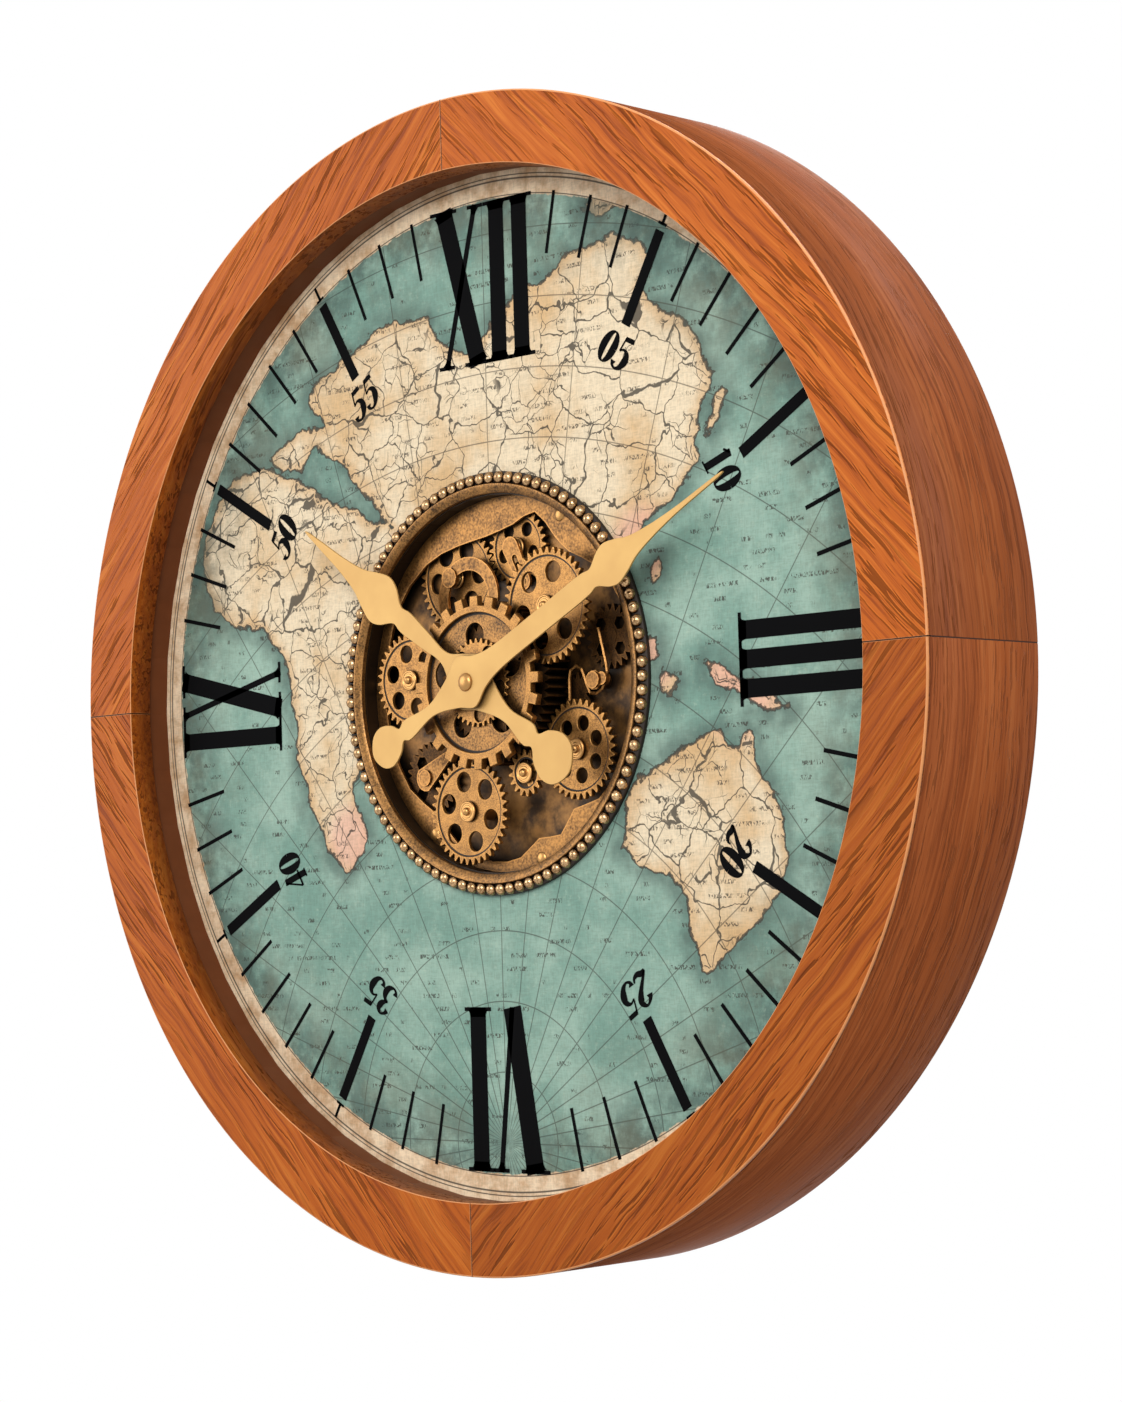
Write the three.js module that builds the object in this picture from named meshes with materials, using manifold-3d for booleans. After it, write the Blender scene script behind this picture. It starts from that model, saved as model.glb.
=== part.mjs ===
// Gear wall clock: a segmented wooden case, a printed dial and an open train of bronze wheels.
// Millimetres, +Z up. The clock faces -Y, its arbor lies on the Y axis, and y = 0 is the wall.
import * as THREE from "three";
import { mergeVertices } from "three/addons/utils/BufferGeometryUtils.js";
import Module from "manifold-3d";

const wasm = await Module();
wasm.setup();

// Case
const CASE_RADIUS = 300;
const CASE_DEPTH = 84;
const FACE_WIDTH = 37;
const FACE_THICKNESS = 14;
const FACE_ROUND = 1.8;
const SIDE_WALL = 12;
const SEGMENTS = 4;
const SEAM = 0.3;
const LINER_WALL = 7;
const LINER_STEP = 2;
const BLOCK_DEPTH = 25;
const BLOCK_SPAN_DEG = 16;

// Dial and back board
const DIAL_RECESS = 28;
const DIAL_THICKNESS = 4;
const BACK_THICKNESS = 4;
const BACK_RECESS = 4;
const ACCESS_RADIUS = 88;
const HANGER_INSET = 43;
const HANGER_WIDTH = 44;
const HANGER_TALL = 26;
const HANGER_SHEET = 2;
const KEYHOLE_HEAD_RADIUS = 5;
const KEYHOLE_SLOT_RADIUS = 2.4;
const KEYHOLE_RISE = 8;

// Gear well
const WELL_RADIUS = 97.5;
const WELL_WALL = 2.5;
const WELL_DEPTH = 14;
const WELL_FLOOR = 3;
const WELL_FLANGE = 12;
const WELL_FLANGE_SHEET = 2;
const BEZEL_INNER_LIP = 0.5;
const BEZEL_WIDTH = 11;
const BEZEL_SHEET = 2.7;
const BEAD_COUNT = 96;
const BEAD_RADIUS = 3.2;
const RIM_PLATE_SHEET = 1.5;
const RIM_PLATE_LIFT = 5;
const STUD_RADIUS = 2;
const STUD_HEAD_RADIUS = 3.2;
const STUD_INSET = 4;

// Wheel train. Shares of the tooth and places among the wheels are in modules.
const TRAIN_CLEARANCE = 1.95;
const ADDENDUM = 0.75;
const DEDENDUM = 1.9;
const TOOTH_SHARE_TIP = 0.18;
const WHEEL_SHEET = 3;
const FLOOR_CLEARANCE = 1;
const LAYER_MIDDLE = 7.5;
const LAYER_UPPER = 13;
const LAYER_TOP = 18;
const DRUM_TEETH = 59;
const CROWN_TEETH = 42;
const PINION_TEETH = 12;
const BOTTOM_TEETH = 38;
const LEFT_TEETH = 35;
const UPPER_RIGHT_TEETH = 41;
const LOWER_RIGHT_TEETH = 35;
const SMALL_TEETH = 16;
const UPPER_LEFT_TEETH = 38;
const TOP_TEETH = 28;
const LEFT_FIXED_TEETH = 26;
const RIGHT_FIXED_TEETH = 22;
const MOTOR_ANGLE_DEG = -8;
const MOTOR_SHAFT_RADIUS = 1.3;
const LEVER_SHEET = 1.5;
const LEVER_LIFT = 3.5;
const WIRE_RADIUS = 0.9;
const DRUM_WALL = 4;
const PIN_RADIUS = 2.5;
const CAP_RADIUS = 5.4;
const CAP_SHEET = 1;
const NIPPLE_RADIUS = 2.2;
const COARSE_TEETH = 24;
const COARSE_TIP_RADIUS = 44.5;
const COARSE_TOOTH_DEPTH = 5;
const COARSE_RIM = 3.4;
const COARSE_SHEET = 4;
const COARSE_WEB_SHEET = 1.5;

// Hands and arbors
const MINUTE_LENGTH = 198;
const MINUTE_BLADE_AT = 115;
const MINUTE_BLADE_HALF = 11.4;
const MINUTE_ROOT_HALF = 6.4;
const MINUTE_COLLAR_HALF = 6;
const MINUTE_HUB_RADIUS = 14.5;
const MINUTE_TAIL_AT = 67;
const MINUTE_TAIL_HALF = 3.3;
const MINUTE_LOBE_RADIUS = 11.3;
const HOUR_LENGTH = 153;
const HOUR_BLADE_AT = 82;
const HOUR_BLADE_HALF = 13.5;
const HOUR_ROOT_HALF = 3.2;
const HOUR_COLLAR_HALF = 6;
const HOUR_HUB_RADIUS = 15.5;
const HOUR_TAIL_AT = 70;
const HOUR_TAIL_HALF = 3.8;
const HOUR_LOBE_RADIUS = 13.6;
const HAND_SHEET = 1.2;
const HAND_GAP = 2.3;
const MINUTE_ANGLE_DEG = 63.6;
const HOUR_ANGLE_DEG = -54;
const MINUTE_ARBOR_RADIUS = 1.8;
const HOUR_TUBE_RADIUS = 3.3;
const BUSH_RADIUS = 5;
const BUSH_FLANGE_RADIUS = 9;
const BUSH_FLANGE_SHEET = 1.5;
const NUT_RADIUS = 4.2;
const NUT_HEIGHT = 2.1;
const KNOB_RADIUS = 8;
const KNOB_HEIGHT = 7;

// Drives on the rear of the well
const MOVEMENT_SIZE = 56;
const DRIVE_DEPTH = 16.5;
const MOTOR_WIDTH = 58;
const MOTOR_TALL = 46;
const CELL_RADIUS = 7.1;
const CELL_LENGTH = 50;
const CELL_NIPPLE_RADIUS = 2.6;
const CELL_NIPPLE_LENGTH = 1;
const SWITCH_WIDTH = 4;
const SWITCH_TALL = 3;
const SWITCH_PROUD = 1.6;
const SWITCH_TRAVEL = 3;
const SWITCH_SLOT_DEPTH = 3;

// Fits
const GAP = 0.3;
const RUNNING_GAP = 0.3;
const ARC_STEPS = 52;
const INNER_STEPS = 40;
const SMALL_STEPS = 12;
const HOLE_STEPS = 3;

// Depths that follow from the sizes above: y falls towards the front.
const FRONT_Y = -CASE_DEPTH;
const FACE_BACK_Y = FRONT_Y + FACE_THICKNESS;
const FACE_INNER_RADIUS = CASE_RADIUS - FACE_WIDTH;
const SIDE_INNER_RADIUS = CASE_RADIUS - SIDE_WALL;
const DIAL_FRONT_Y = FRONT_Y + DIAL_RECESS;
const DIAL_BACK_Y = DIAL_FRONT_Y + DIAL_THICKNESS;
const BACK_FRONT_Y = -BACK_RECESS - BACK_THICKNESS;
const HANGER_HEIGHT = SIDE_INNER_RADIUS - HANGER_INSET;
const BOARD_RADIUS = SIDE_INNER_RADIUS * Math.cos(Math.PI / ARC_STEPS) - GAP;
const WELL_OUTER_RADIUS = WELL_RADIUS + WELL_WALL;
const FLOOR_FRONT_Y = DIAL_FRONT_Y + WELL_DEPTH;
const FLOOR_BACK_Y = FLOOR_FRONT_Y + WELL_FLOOR;
const DRIVE_FRONT_Y = FLOOR_BACK_Y + GAP;
const DRIVE_BACK_Y = DRIVE_FRONT_Y + DRIVE_DEPTH;
const LOWER_BACK_Y = FLOOR_FRONT_Y - FLOOR_CLEARANCE;
const MIDDLE_BACK_Y = LOWER_BACK_Y - LAYER_MIDDLE;
const UPPER_BACK_Y = LOWER_BACK_Y - LAYER_UPPER;
const TOP_BACK_Y = LOWER_BACK_Y - LAYER_TOP;
const COARSE_BACK_Y = TOP_BACK_Y - WHEEL_SHEET - 2;
const COARSE_FRONT_Y = COARSE_BACK_Y - COARSE_SHEET;
const HOUR_BACK_Y = COARSE_FRONT_Y - HAND_GAP;
const MINUTE_BACK_Y = HOUR_BACK_Y - HAND_SHEET - HAND_GAP;
const MINUTE_FRONT_Y = MINUTE_BACK_Y - HAND_SHEET;

// The module follows from the well: the bottom wheel's tip runs just inside its wall.
const MODULE = (WELL_RADIUS - TRAIN_CLEARANCE) / (DRUM_TEETH / 2 + BOTTOM_TEETH + ADDENDUM);

const clock = new THREE.Group();
const radians = THREE.MathUtils.degToRad;
const polar = (radius, degrees) =>
  new THREE.Vector2(radius * Math.cos(radians(degrees)), radius * Math.sin(radians(degrees)));
const pitchRadius = (teeth) => (MODULE * teeth) / 2;
const tipRadius = (teeth) => MODULE * (teeth / 2 + ADDENDUM);
const rootRadius = (teeth) => MODULE * (teeth / 2 - DEDENDUM);

const finish = (color, roughness, metalness) =>
  new THREE.MeshStandardMaterial({ color, roughness, metalness });
const faceWood = finish(0xb8632f, 0.45, 0);
const sideWood = finish(0x8c4f2e, 0.5, 0);
const linerWood = finish(0x4a2c1a, 0.4, 0);
const rawWood = finish(0xb59a78, 0.9, 0);
const dialPrint = finish(0x8fa896, 0.8, 0);
const bronze = finish(0xa77a45, 0.4, 0.9);
const darkBronze = finish(0x5c4326, 0.5, 0.8);
const handGold = finish(0xdcb877, 0.45, 0.7);
const steel = finish(0xb8b8b4, 0.4, 1);
const blackPlastic = finish(0x1c1c1e, 0.6, 0);
const cellPrint = finish(0x3b5a46, 0.5, 0.2);

// A mesh's geometry as a solid, and a solid's triangles as a geometry.
function solidOf(geometry) {
  const bare = geometry.clone();
  bare.deleteAttribute("normal");
  bare.deleteAttribute("uv");
  const merged = mergeVertices(bare, 1e-4);
  return new wasm.Manifold(
    new wasm.Mesh({
      numProp: 3,
      vertProperties: new Float32Array(merged.attributes.position.array),
      triVerts: new Uint32Array(merged.index.array),
    }),
  );
}

function geometryOf(solid) {
  const mesh = solid.getMesh();
  const geometry = new THREE.BufferGeometry();
  geometry.setAttribute("position", new THREE.BufferAttribute(new Float32Array(mesh.vertProperties), 3));
  geometry.setIndex(new THREE.BufferAttribute(new Uint32Array(mesh.triVerts), 1));
  geometry.computeVertexNormals();
  return geometry;
}

function place(name, shape, material) {
  const geometry = shape.isBufferGeometry ? shape : geometryOf(shape);
  const mesh = new THREE.Mesh(geometry, material);
  mesh.name = name;
  clock.add(mesh);
  return mesh;
}

// A flat plate: an outline drawn as seen from the front, from its rear face towards the viewer.
function plate(shape, backY, thickness, steps = SMALL_STEPS / 2) {
  const geometry = new THREE.ExtrudeGeometry(shape, {
    depth: thickness,
    bevelEnabled: false,
    curveSegments: steps,
  });
  return geometry.rotateX(Math.PI / 2).translate(0, backY, 0);
}

// A body of revolution about a line along Y: profile pairs of radius and y, outside first, front to rear.
function turned(profile, steps = ARC_STEPS, centre = new THREE.Vector2()) {
  const points = profile.map(([radius, y]) => new THREE.Vector2(radius, y));
  return new THREE.LatheGeometry(points, steps).translate(centre.x, 0, centre.y);
}

function circlePath(radius, centre = new THREE.Vector2()) {
  const path = new THREE.Path();
  path.absarc(centre.x, centre.y, radius, 0, 2 * Math.PI, true);
  return path;
}

// A bore for something round that turns or sits in it: its flats, not its corners, lie at the radius.
function borePath(radius, centre = new THREE.Vector2()) {
  const corner = radius / Math.cos(Math.PI / SMALL_STEPS);
  const points = [];
  for (let index = 0; index < SMALL_STEPS; index++) {
    points.push(polar(corner, (-360 * index) / SMALL_STEPS).add(centre));
  }
  return new THREE.Path(points);
}

function disc(radius, centre = new THREE.Vector2()) {
  const shape = new THREE.Shape();
  shape.absarc(centre.x, centre.y, radius, 0, 2 * Math.PI, false);
  return shape;
}

const ringProfile = (inner, outer, frontY, backY) => [
  [inner, frontY],
  [outer, frontY],
  [outer, backY],
  [inner, backY],
  [inner, frontY],
];

// Case segments

// A wedge of one quarter of the case, drawn back from the seams by half the seam's width.
function quarterWedge(index) {
  const reach = 2 * CASE_RADIUS;
  const step = 360 / SEGMENTS;
  const from = polar(reach, index * step);
  const to = polar(reach, (index + 1) * step);
  const half = SEAM / 2;
  const inward = polar(half / Math.sin(radians(step / 2)), (index + 0.5) * step);
  const middle = polar(reach * 2, (index + 0.5) * step);
  const shape = new THREE.Shape([
    inward.clone(),
    from.add(inward),
    middle,
    to.add(inward),
  ]);
  return solidOf(plate(shape, CASE_DEPTH, 3 * CASE_DEPTH));
}

const SEGMENT_NAMES = ["top_right", "top_left", "bottom_left", "bottom_right"];

function faceProfile() {
  const profile = [[FACE_INNER_RADIUS, FACE_BACK_Y], [FACE_INNER_RADIUS, FRONT_Y]];
  const roundSteps = 2;
  for (let i = 0; i <= roundSteps; i++) {
    const turn = (Math.PI / 2) * (i / roundSteps);
    profile.push([
      CASE_RADIUS - FACE_ROUND * (1 - Math.sin(turn)),
      FRONT_Y + FACE_ROUND * (1 - Math.cos(turn)),
    ]);
  }
  profile.push([CASE_RADIUS, FACE_BACK_Y], [FACE_INNER_RADIUS, FACE_BACK_Y]);
  return profile;
}

function buildCase() {
  const face = solidOf(turned(faceProfile()));
  const side = solidOf(turned(ringProfile(SIDE_INNER_RADIUS, CASE_RADIUS, FACE_BACK_Y + GAP, 0)));
  SEGMENT_NAMES.forEach((name, index) => {
    const wedge = quarterWedge(index);
    place("face_segment_" + name, face.intersect(wedge), faceWood);
    place("side_segment_" + name, side.intersect(wedge), sideWood);
  });
  const linerInner = FACE_INNER_RADIUS + LINER_STEP;
  place(
    "liner_ring",
    turned(ringProfile(linerInner, linerInner + LINER_WALL, FACE_BACK_Y + GAP, DIAL_FRONT_Y - GAP)),
    linerWood,
  );
  for (let index = 0; index < SEGMENTS; index++) {
    const middle = (index + 0.5) * (360 / SEGMENTS);
    const from = radians(middle - BLOCK_SPAN_DEG / 2);
    const to = radians(middle + BLOCK_SPAN_DEG / 2);
    const block = new THREE.Shape();
    block.absarc(0, 0, BOARD_RADIUS, from, to, false);
    block.absarc(0, 0, BOARD_RADIUS - BLOCK_DEPTH, to, from, true);
    const backY = BACK_FRONT_Y - GAP;
    const length = backY - (DIAL_BACK_Y + GAP);
    place("support_block_" + SEGMENT_NAMES[index], plate(block, backY, length, 3), rawWood);
  }
}

// Dial, back board and hanger

function buildBoards() {
  const dial = disc(BOARD_RADIUS);
  dial.holes.push(circlePath(WELL_OUTER_RADIUS + GAP));
  place("dial_board", plate(dial, DIAL_BACK_Y, DIAL_THICKNESS, INNER_STEPS / 2), dialPrint);

  const back = disc(BOARD_RADIUS);
  back.holes.push(circlePath(ACCESS_RADIUS));
  const pocket = new THREE.Vector2(0, HANGER_HEIGHT + KEYHOLE_RISE / 2);
  const pocketRadius = KEYHOLE_HEAD_RADIUS + KEYHOLE_RISE / 2 + 2;
  const drill = plate(disc(pocketRadius, pocket), -BACK_RECESS + 1, BACK_THICKNESS + 2);
  const board = solidOf(plate(back, -BACK_RECESS, BACK_THICKNESS, INNER_STEPS / 2)).subtract(solidOf(drill));
  place("back_board", board, rawWood);

  const corner = HANGER_TALL / 2;
  const reach = HANGER_WIDTH / 2 - corner;
  const hanger = new THREE.Shape();
  hanger.absarc(reach, HANGER_HEIGHT, corner, -Math.PI / 2, Math.PI / 2, false);
  hanger.absarc(-reach, HANGER_HEIGHT, corner, Math.PI / 2, 1.5 * Math.PI, false);
  const keyhole = new THREE.Path();
  const neck = Math.asin(KEYHOLE_SLOT_RADIUS / KEYHOLE_HEAD_RADIUS);
  keyhole.absarc(0, HANGER_HEIGHT, KEYHOLE_HEAD_RADIUS, Math.PI / 2 - neck, Math.PI / 2 + neck, true);
  keyhole.absarc(0, HANGER_HEIGHT + KEYHOLE_RISE, KEYHOLE_SLOT_RADIUS, Math.PI, 0, true);
  hanger.holes.push(keyhole);
  place("hanger_plate", plate(hanger, -BACK_RECESS + GAP + HANGER_SHEET, HANGER_SHEET, 4), steel);
}

// Gear well, bezel and rim plate

const motorShaft = polar(pitchRadius(DRUM_TEETH) + pitchRadius(PINION_TEETH), MOTOR_ANGLE_DEG);

function buildWell() {
  const flangeFront = DIAL_BACK_Y + GAP;
  const cup = solidOf(
    turned([
      [0, FLOOR_FRONT_Y],
      [WELL_RADIUS, FLOOR_FRONT_Y],
      [WELL_RADIUS, DIAL_FRONT_Y],
      [WELL_OUTER_RADIUS, DIAL_FRONT_Y],
      [WELL_OUTER_RADIUS, flangeFront],
      [WELL_OUTER_RADIUS + WELL_FLANGE, flangeFront],
      [WELL_OUTER_RADIUS + WELL_FLANGE, flangeFront + WELL_FLANGE_SHEET],
      [WELL_OUTER_RADIUS, flangeFront + WELL_FLANGE_SHEET],
      [WELL_OUTER_RADIUS, FLOOR_BACK_Y],
      [0, FLOOR_BACK_Y],
    ], INNER_STEPS),
  );
  const drill = (radius, centre) =>
    solidOf(plate(new THREE.Shape(borePath(radius, centre).getPoints()), FLOOR_BACK_Y + 1, WELL_FLOOR + 2));
  const floor = cup
    .subtract(drill(BUSH_RADIUS + GAP))
    .subtract(drill(MOTOR_SHAFT_RADIUS + 2 * RUNNING_GAP, motorShaft));
  place("gear_well", floor, darkBronze);
}

// The bezel's flat ring, its front raised into a row of pointed beads, one to a cell.
function bezelGeometry() {
  const inner = WELL_RADIUS + BEZEL_INNER_LIP;
  const outer = inner + BEZEL_WIDTH;
  const back = DIAL_FRONT_Y - GAP;
  const front = back - BEZEL_SHEET;
  const beadInner = outer - 2 * BEAD_RADIUS;
  const crown = front - BEAD_RADIUS * 1.15;
  const positions = [];
  const at = (radius, cell, y) => {
    const turn = (2 * Math.PI * cell) / BEAD_COUNT;
    return [radius * Math.cos(turn), y, radius * Math.sin(turn)];
  };
  const triangle = (a, b, c) => positions.push(...a, ...c, ...b);
  const quad = (a, b, c, d) => {
    triangle(a, b, c);
    triangle(a, c, d);
  };
  for (let cell = 0; cell < BEAD_COUNT; cell++) {
    const next = cell + 1;
    quad(at(inner, cell, back), at(outer, cell, back), at(outer, next, back), at(inner, next, back));
    quad(at(outer, cell, back), at(outer, cell, front), at(outer, next, front), at(outer, next, back));
    quad(at(inner, cell, front), at(inner, cell, back), at(inner, next, back), at(inner, next, front));
    const innerEdge = [at(inner, cell, front), at(inner, next, front)];
    const beadEdge = [at(beadInner, cell, front), at(beadInner, next, front)];
    quad(beadEdge[0], innerEdge[0], innerEdge[1], beadEdge[1]);
    const base = [at(outer, cell, front), ...beadEdge, at(outer, next, front)];
    const top = at(outer - BEAD_RADIUS, cell + 0.5, crown);
    for (let side = 0; side < base.length; side++) {
      triangle(base[side], base[(side + 1) % base.length], top);
    }
  }
  const geometry = new THREE.BufferGeometry();
  geometry.setAttribute("position", new THREE.Float32BufferAttribute(positions, 3));
  return mergeVertices(geometry, 1e-4);
}

// Inner edge of the rim plate: angle in degrees and how far the plate reaches in from the well's wall.
const RIM_PLATE_REACH = [
  [0, 8], [20, 6], [40, 11], [53, 17], [62, 15], [74, 7], [84, 15], [98, 19], [114, 16], [130, 10],
  [152, 6], [177, 8], [195, 7], [215, 8], [231, 13], [246, 7], [262, 5], [275, 7], [285, 14],
  [295, 10], [305, 16], [316, 8], [332, 6], [346, 8],
];
const STUD_ANGLES_DEG = [63, 177, 234, 284];
const studRadius = WELL_RADIUS - STUD_INSET;
const rimPlateBackY = FLOOR_FRONT_Y - RIM_PLATE_LIFT;
const rimPlateFrontY = rimPlateBackY - RIM_PLATE_SHEET;

function buildBezel() {
  place("beaded_bezel", bezelGeometry(), bronze);

  const outer = WELL_RADIUS - GAP;
  const edge = new THREE.CatmullRomCurve3(
    RIM_PLATE_REACH.map(([degrees, reach]) => {
      const point = polar(outer - reach, degrees);
      return new THREE.Vector3(point.x, point.y, 0);
    }),
    true,
  );
  const shape = disc(outer);
  const inner = new THREE.Path(edge.getPoints(2 * RIM_PLATE_REACH.length).slice(0, -1).reverse());
  shape.holes.push(inner);
  const studs = STUD_ANGLES_DEG.map((degrees) => polar(studRadius, degrees));
  let rim = solidOf(plate(shape, rimPlateBackY, RIM_PLATE_SHEET, ARC_STEPS / 2));
  for (const stud of studs) {
    const hole = plate(disc(STUD_RADIUS + GAP, stud), rimPlateBackY + 1, RIM_PLATE_SHEET + 2, 4);
    rim = rim.subtract(solidOf(hole));
  }
  place("rim_plate", rim, bronze);

  const headBack = rimPlateFrontY - GAP;
  studs.forEach((stud, index) => {
    const profile = [
      [0, headBack - 0.9],
      [STUD_HEAD_RADIUS * 0.7, headBack - 0.6],
      [STUD_HEAD_RADIUS, headBack],
      [STUD_RADIUS, headBack],
      [STUD_RADIUS, FLOOR_FRONT_Y - GAP],
      [0, FLOOR_FRONT_Y - GAP],
    ];
    place("rim_stud_" + (index + 1), turned(profile, 8, stud), bronze);
  });
}

// Wheels

// Outline of a toothed wheel, its first tooth at the given angle. Each pair holds a radius and
// a place along the tooth's pitch, from the valley before the tooth to the one after it.
function toothedShape(teeth, phase, centre, tooth) {
  const pitch = (2 * Math.PI) / teeth;
  const points = [];
  for (let index = 0; index < teeth; index++) {
    for (const [radius, share] of tooth) {
      const turn = phase + (index + share) * pitch;
      points.push(new THREE.Vector2(centre.x + radius * Math.cos(turn), centre.y + radius * Math.sin(turn)));
    }
  }
  return new THREE.Shape(points);
}

function wheelShape(teeth, phase, centre) {
  const tip = tipRadius(teeth);
  const half = TOOTH_SHARE_TIP / 2;
  return toothedShape(teeth, phase, centre, [[rootRadius(teeth), -0.5], [tip, -half], [tip, half]]);
}

// The phase that puts a follower's tooth in the gap of the wheel that it meshes with.
function meshPhase(driverTeeth, driverPhase, followerTeeth, lineDegrees) {
  const line = radians(lineDegrees);
  const share = (line - driverPhase) / ((2 * Math.PI) / driverTeeth);
  return line + Math.PI - (0.5 - share) * ((2 * Math.PI) / followerTeeth);
}

const axisPoint = new THREE.Vector2();
const drumPhase = 0;

// Each wheel: its teeth, the layer of its rear face, the rim that drives it and its lightening holes.
const drum = { teeth: DRUM_TEETH, phase: drumPhase, centre: axisPoint };
const crown = { teeth: CROWN_TEETH, phase: drumPhase, centre: axisPoint };

function wheel(name, teeth, driver, angleDegrees, backY, cuts) {
  const reach = pitchRadius(driver.teeth) + pitchRadius(teeth);
  const centre = polar(reach, angleDegrees).add(driver.centre);
  const phase = meshPhase(driver.teeth, driver.phase, teeth, angleDegrees);
  return { name, teeth, centre, phase, backY, cuts };
}

// Lightening holes: how many, their radius and the radius of their circle, in modules.
const holes = (count, radius, circle) => ({ count, radius: radius * MODULE, circle: circle * MODULE });

const upperLeft = wheel("upper_left_gear", UPPER_LEFT_TEETH, drum, 121.6, LOWER_BACK_Y, holes(6, 3.85, 11.1));
const topWheel = wheel("top_gear", TOP_TEETH, upperLeft, 15.1, LOWER_BACK_Y, holes(5, 2.6, 7.9));
const wheels = [
  wheel("bottom_gear", BOTTOM_TEETH, drum, 254, UPPER_BACK_Y, holes(6, 3.7, 11.4)),
  wheel("left_gear", LEFT_TEETH, drum, 174.7, MIDDLE_BACK_Y, holes(6, 3.3, 10.4)),
  wheel("upper_right_gear", UPPER_RIGHT_TEETH, crown, 38.4, TOP_BACK_Y, holes(6, 3.8, 12.5)),
  wheel("lower_right_gear", LOWER_RIGHT_TEETH, drum, 326, MIDDLE_BACK_Y, holes(7, 2.8, 9.6)),
  wheel("small_gear", SMALL_TEETH, drum, 296, UPPER_BACK_Y, holes(4, 1.25, 4.4)),
  upperLeft,
  topWheel,
];

// Places among the wheels, as a distance in modules and an angle.
const lowerLeftPost = polar(52.9 * MODULE, 218.4);
const rightFixedPost = polar(53.9 * MODULE, 14.6);
const springPost = polar(46.6 * MODULE, -2.2);

function lightened(shape, centre, phase, { count, radius, circle }) {
  for (let index = 0; index < count; index++) {
    const turn = THREE.MathUtils.radToDeg(phase) + (index * 360) / count;
    shape.holes.push(circlePath(radius, polar(circle, turn).add(centre)));
  }
  return shape;
}

// A fixed post: a foot on the floor, a pin through the wheel, and a cap with a rounded nipple.
function arborProfile(backY) {
  const foot = FLOOR_FRONT_Y - GAP;
  const shoulder = backY + GAP;
  const cap = backY - WHEEL_SHEET - GAP;
  return [
    [0, cap - CAP_SHEET - NIPPLE_RADIUS],
    [NIPPLE_RADIUS * 0.6, cap - CAP_SHEET - NIPPLE_RADIUS],
    [NIPPLE_RADIUS, cap - CAP_SHEET],
    [CAP_RADIUS, cap - CAP_SHEET],
    [CAP_RADIUS, cap],
    [PIN_RADIUS, cap],
    [PIN_RADIUS, shoulder],
    [CAP_RADIUS - 1, shoulder],
    [CAP_RADIUS - 1, foot],
    [0, foot],
  ];
}

function buildWheels() {
  for (const { name, teeth, centre, phase, backY, cuts } of wheels) {
    const shape = lightened(wheelShape(teeth, phase, centre), centre, phase, cuts);
    shape.holes.push(borePath(PIN_RADIUS + RUNNING_GAP, centre));
    place(name, plate(shape, backY, WHEEL_SHEET, HOLE_STEPS), bronze);
    place(name.replace("_gear", "_arbor"), turned(arborProfile(backY), 8, centre), bronze);
  }
}

// Wheels that stand still behind the train, each fused with the post that carries it.
function buildFixedWheels() {
  const fixed = [
    { name: "lower_left_wheel", teeth: LEFT_FIXED_TEETH, centre: lowerLeftPost, cuts: holes(4, 3, 7.9) },
    { name: "right_wheel", teeth: RIGHT_FIXED_TEETH, centre: rightFixedPost, cuts: holes(4, 2.6, 6.4) },
  ];
  for (const { name, teeth, centre, cuts } of fixed) {
    const shape = lightened(wheelShape(teeth, 0, centre), centre, Math.PI / 4, cuts);
    const post = plate(disc(CAP_RADIUS - 1, centre), FLOOR_FRONT_Y - GAP, FLOOR_CLEARANCE + WHEEL_SHEET, 4);
    place(name, solidOf(plate(shape, LOWER_BACK_Y, WHEEL_SHEET, HOLE_STEPS)).add(solidOf(post)), darkBronze);
  }
}

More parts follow.
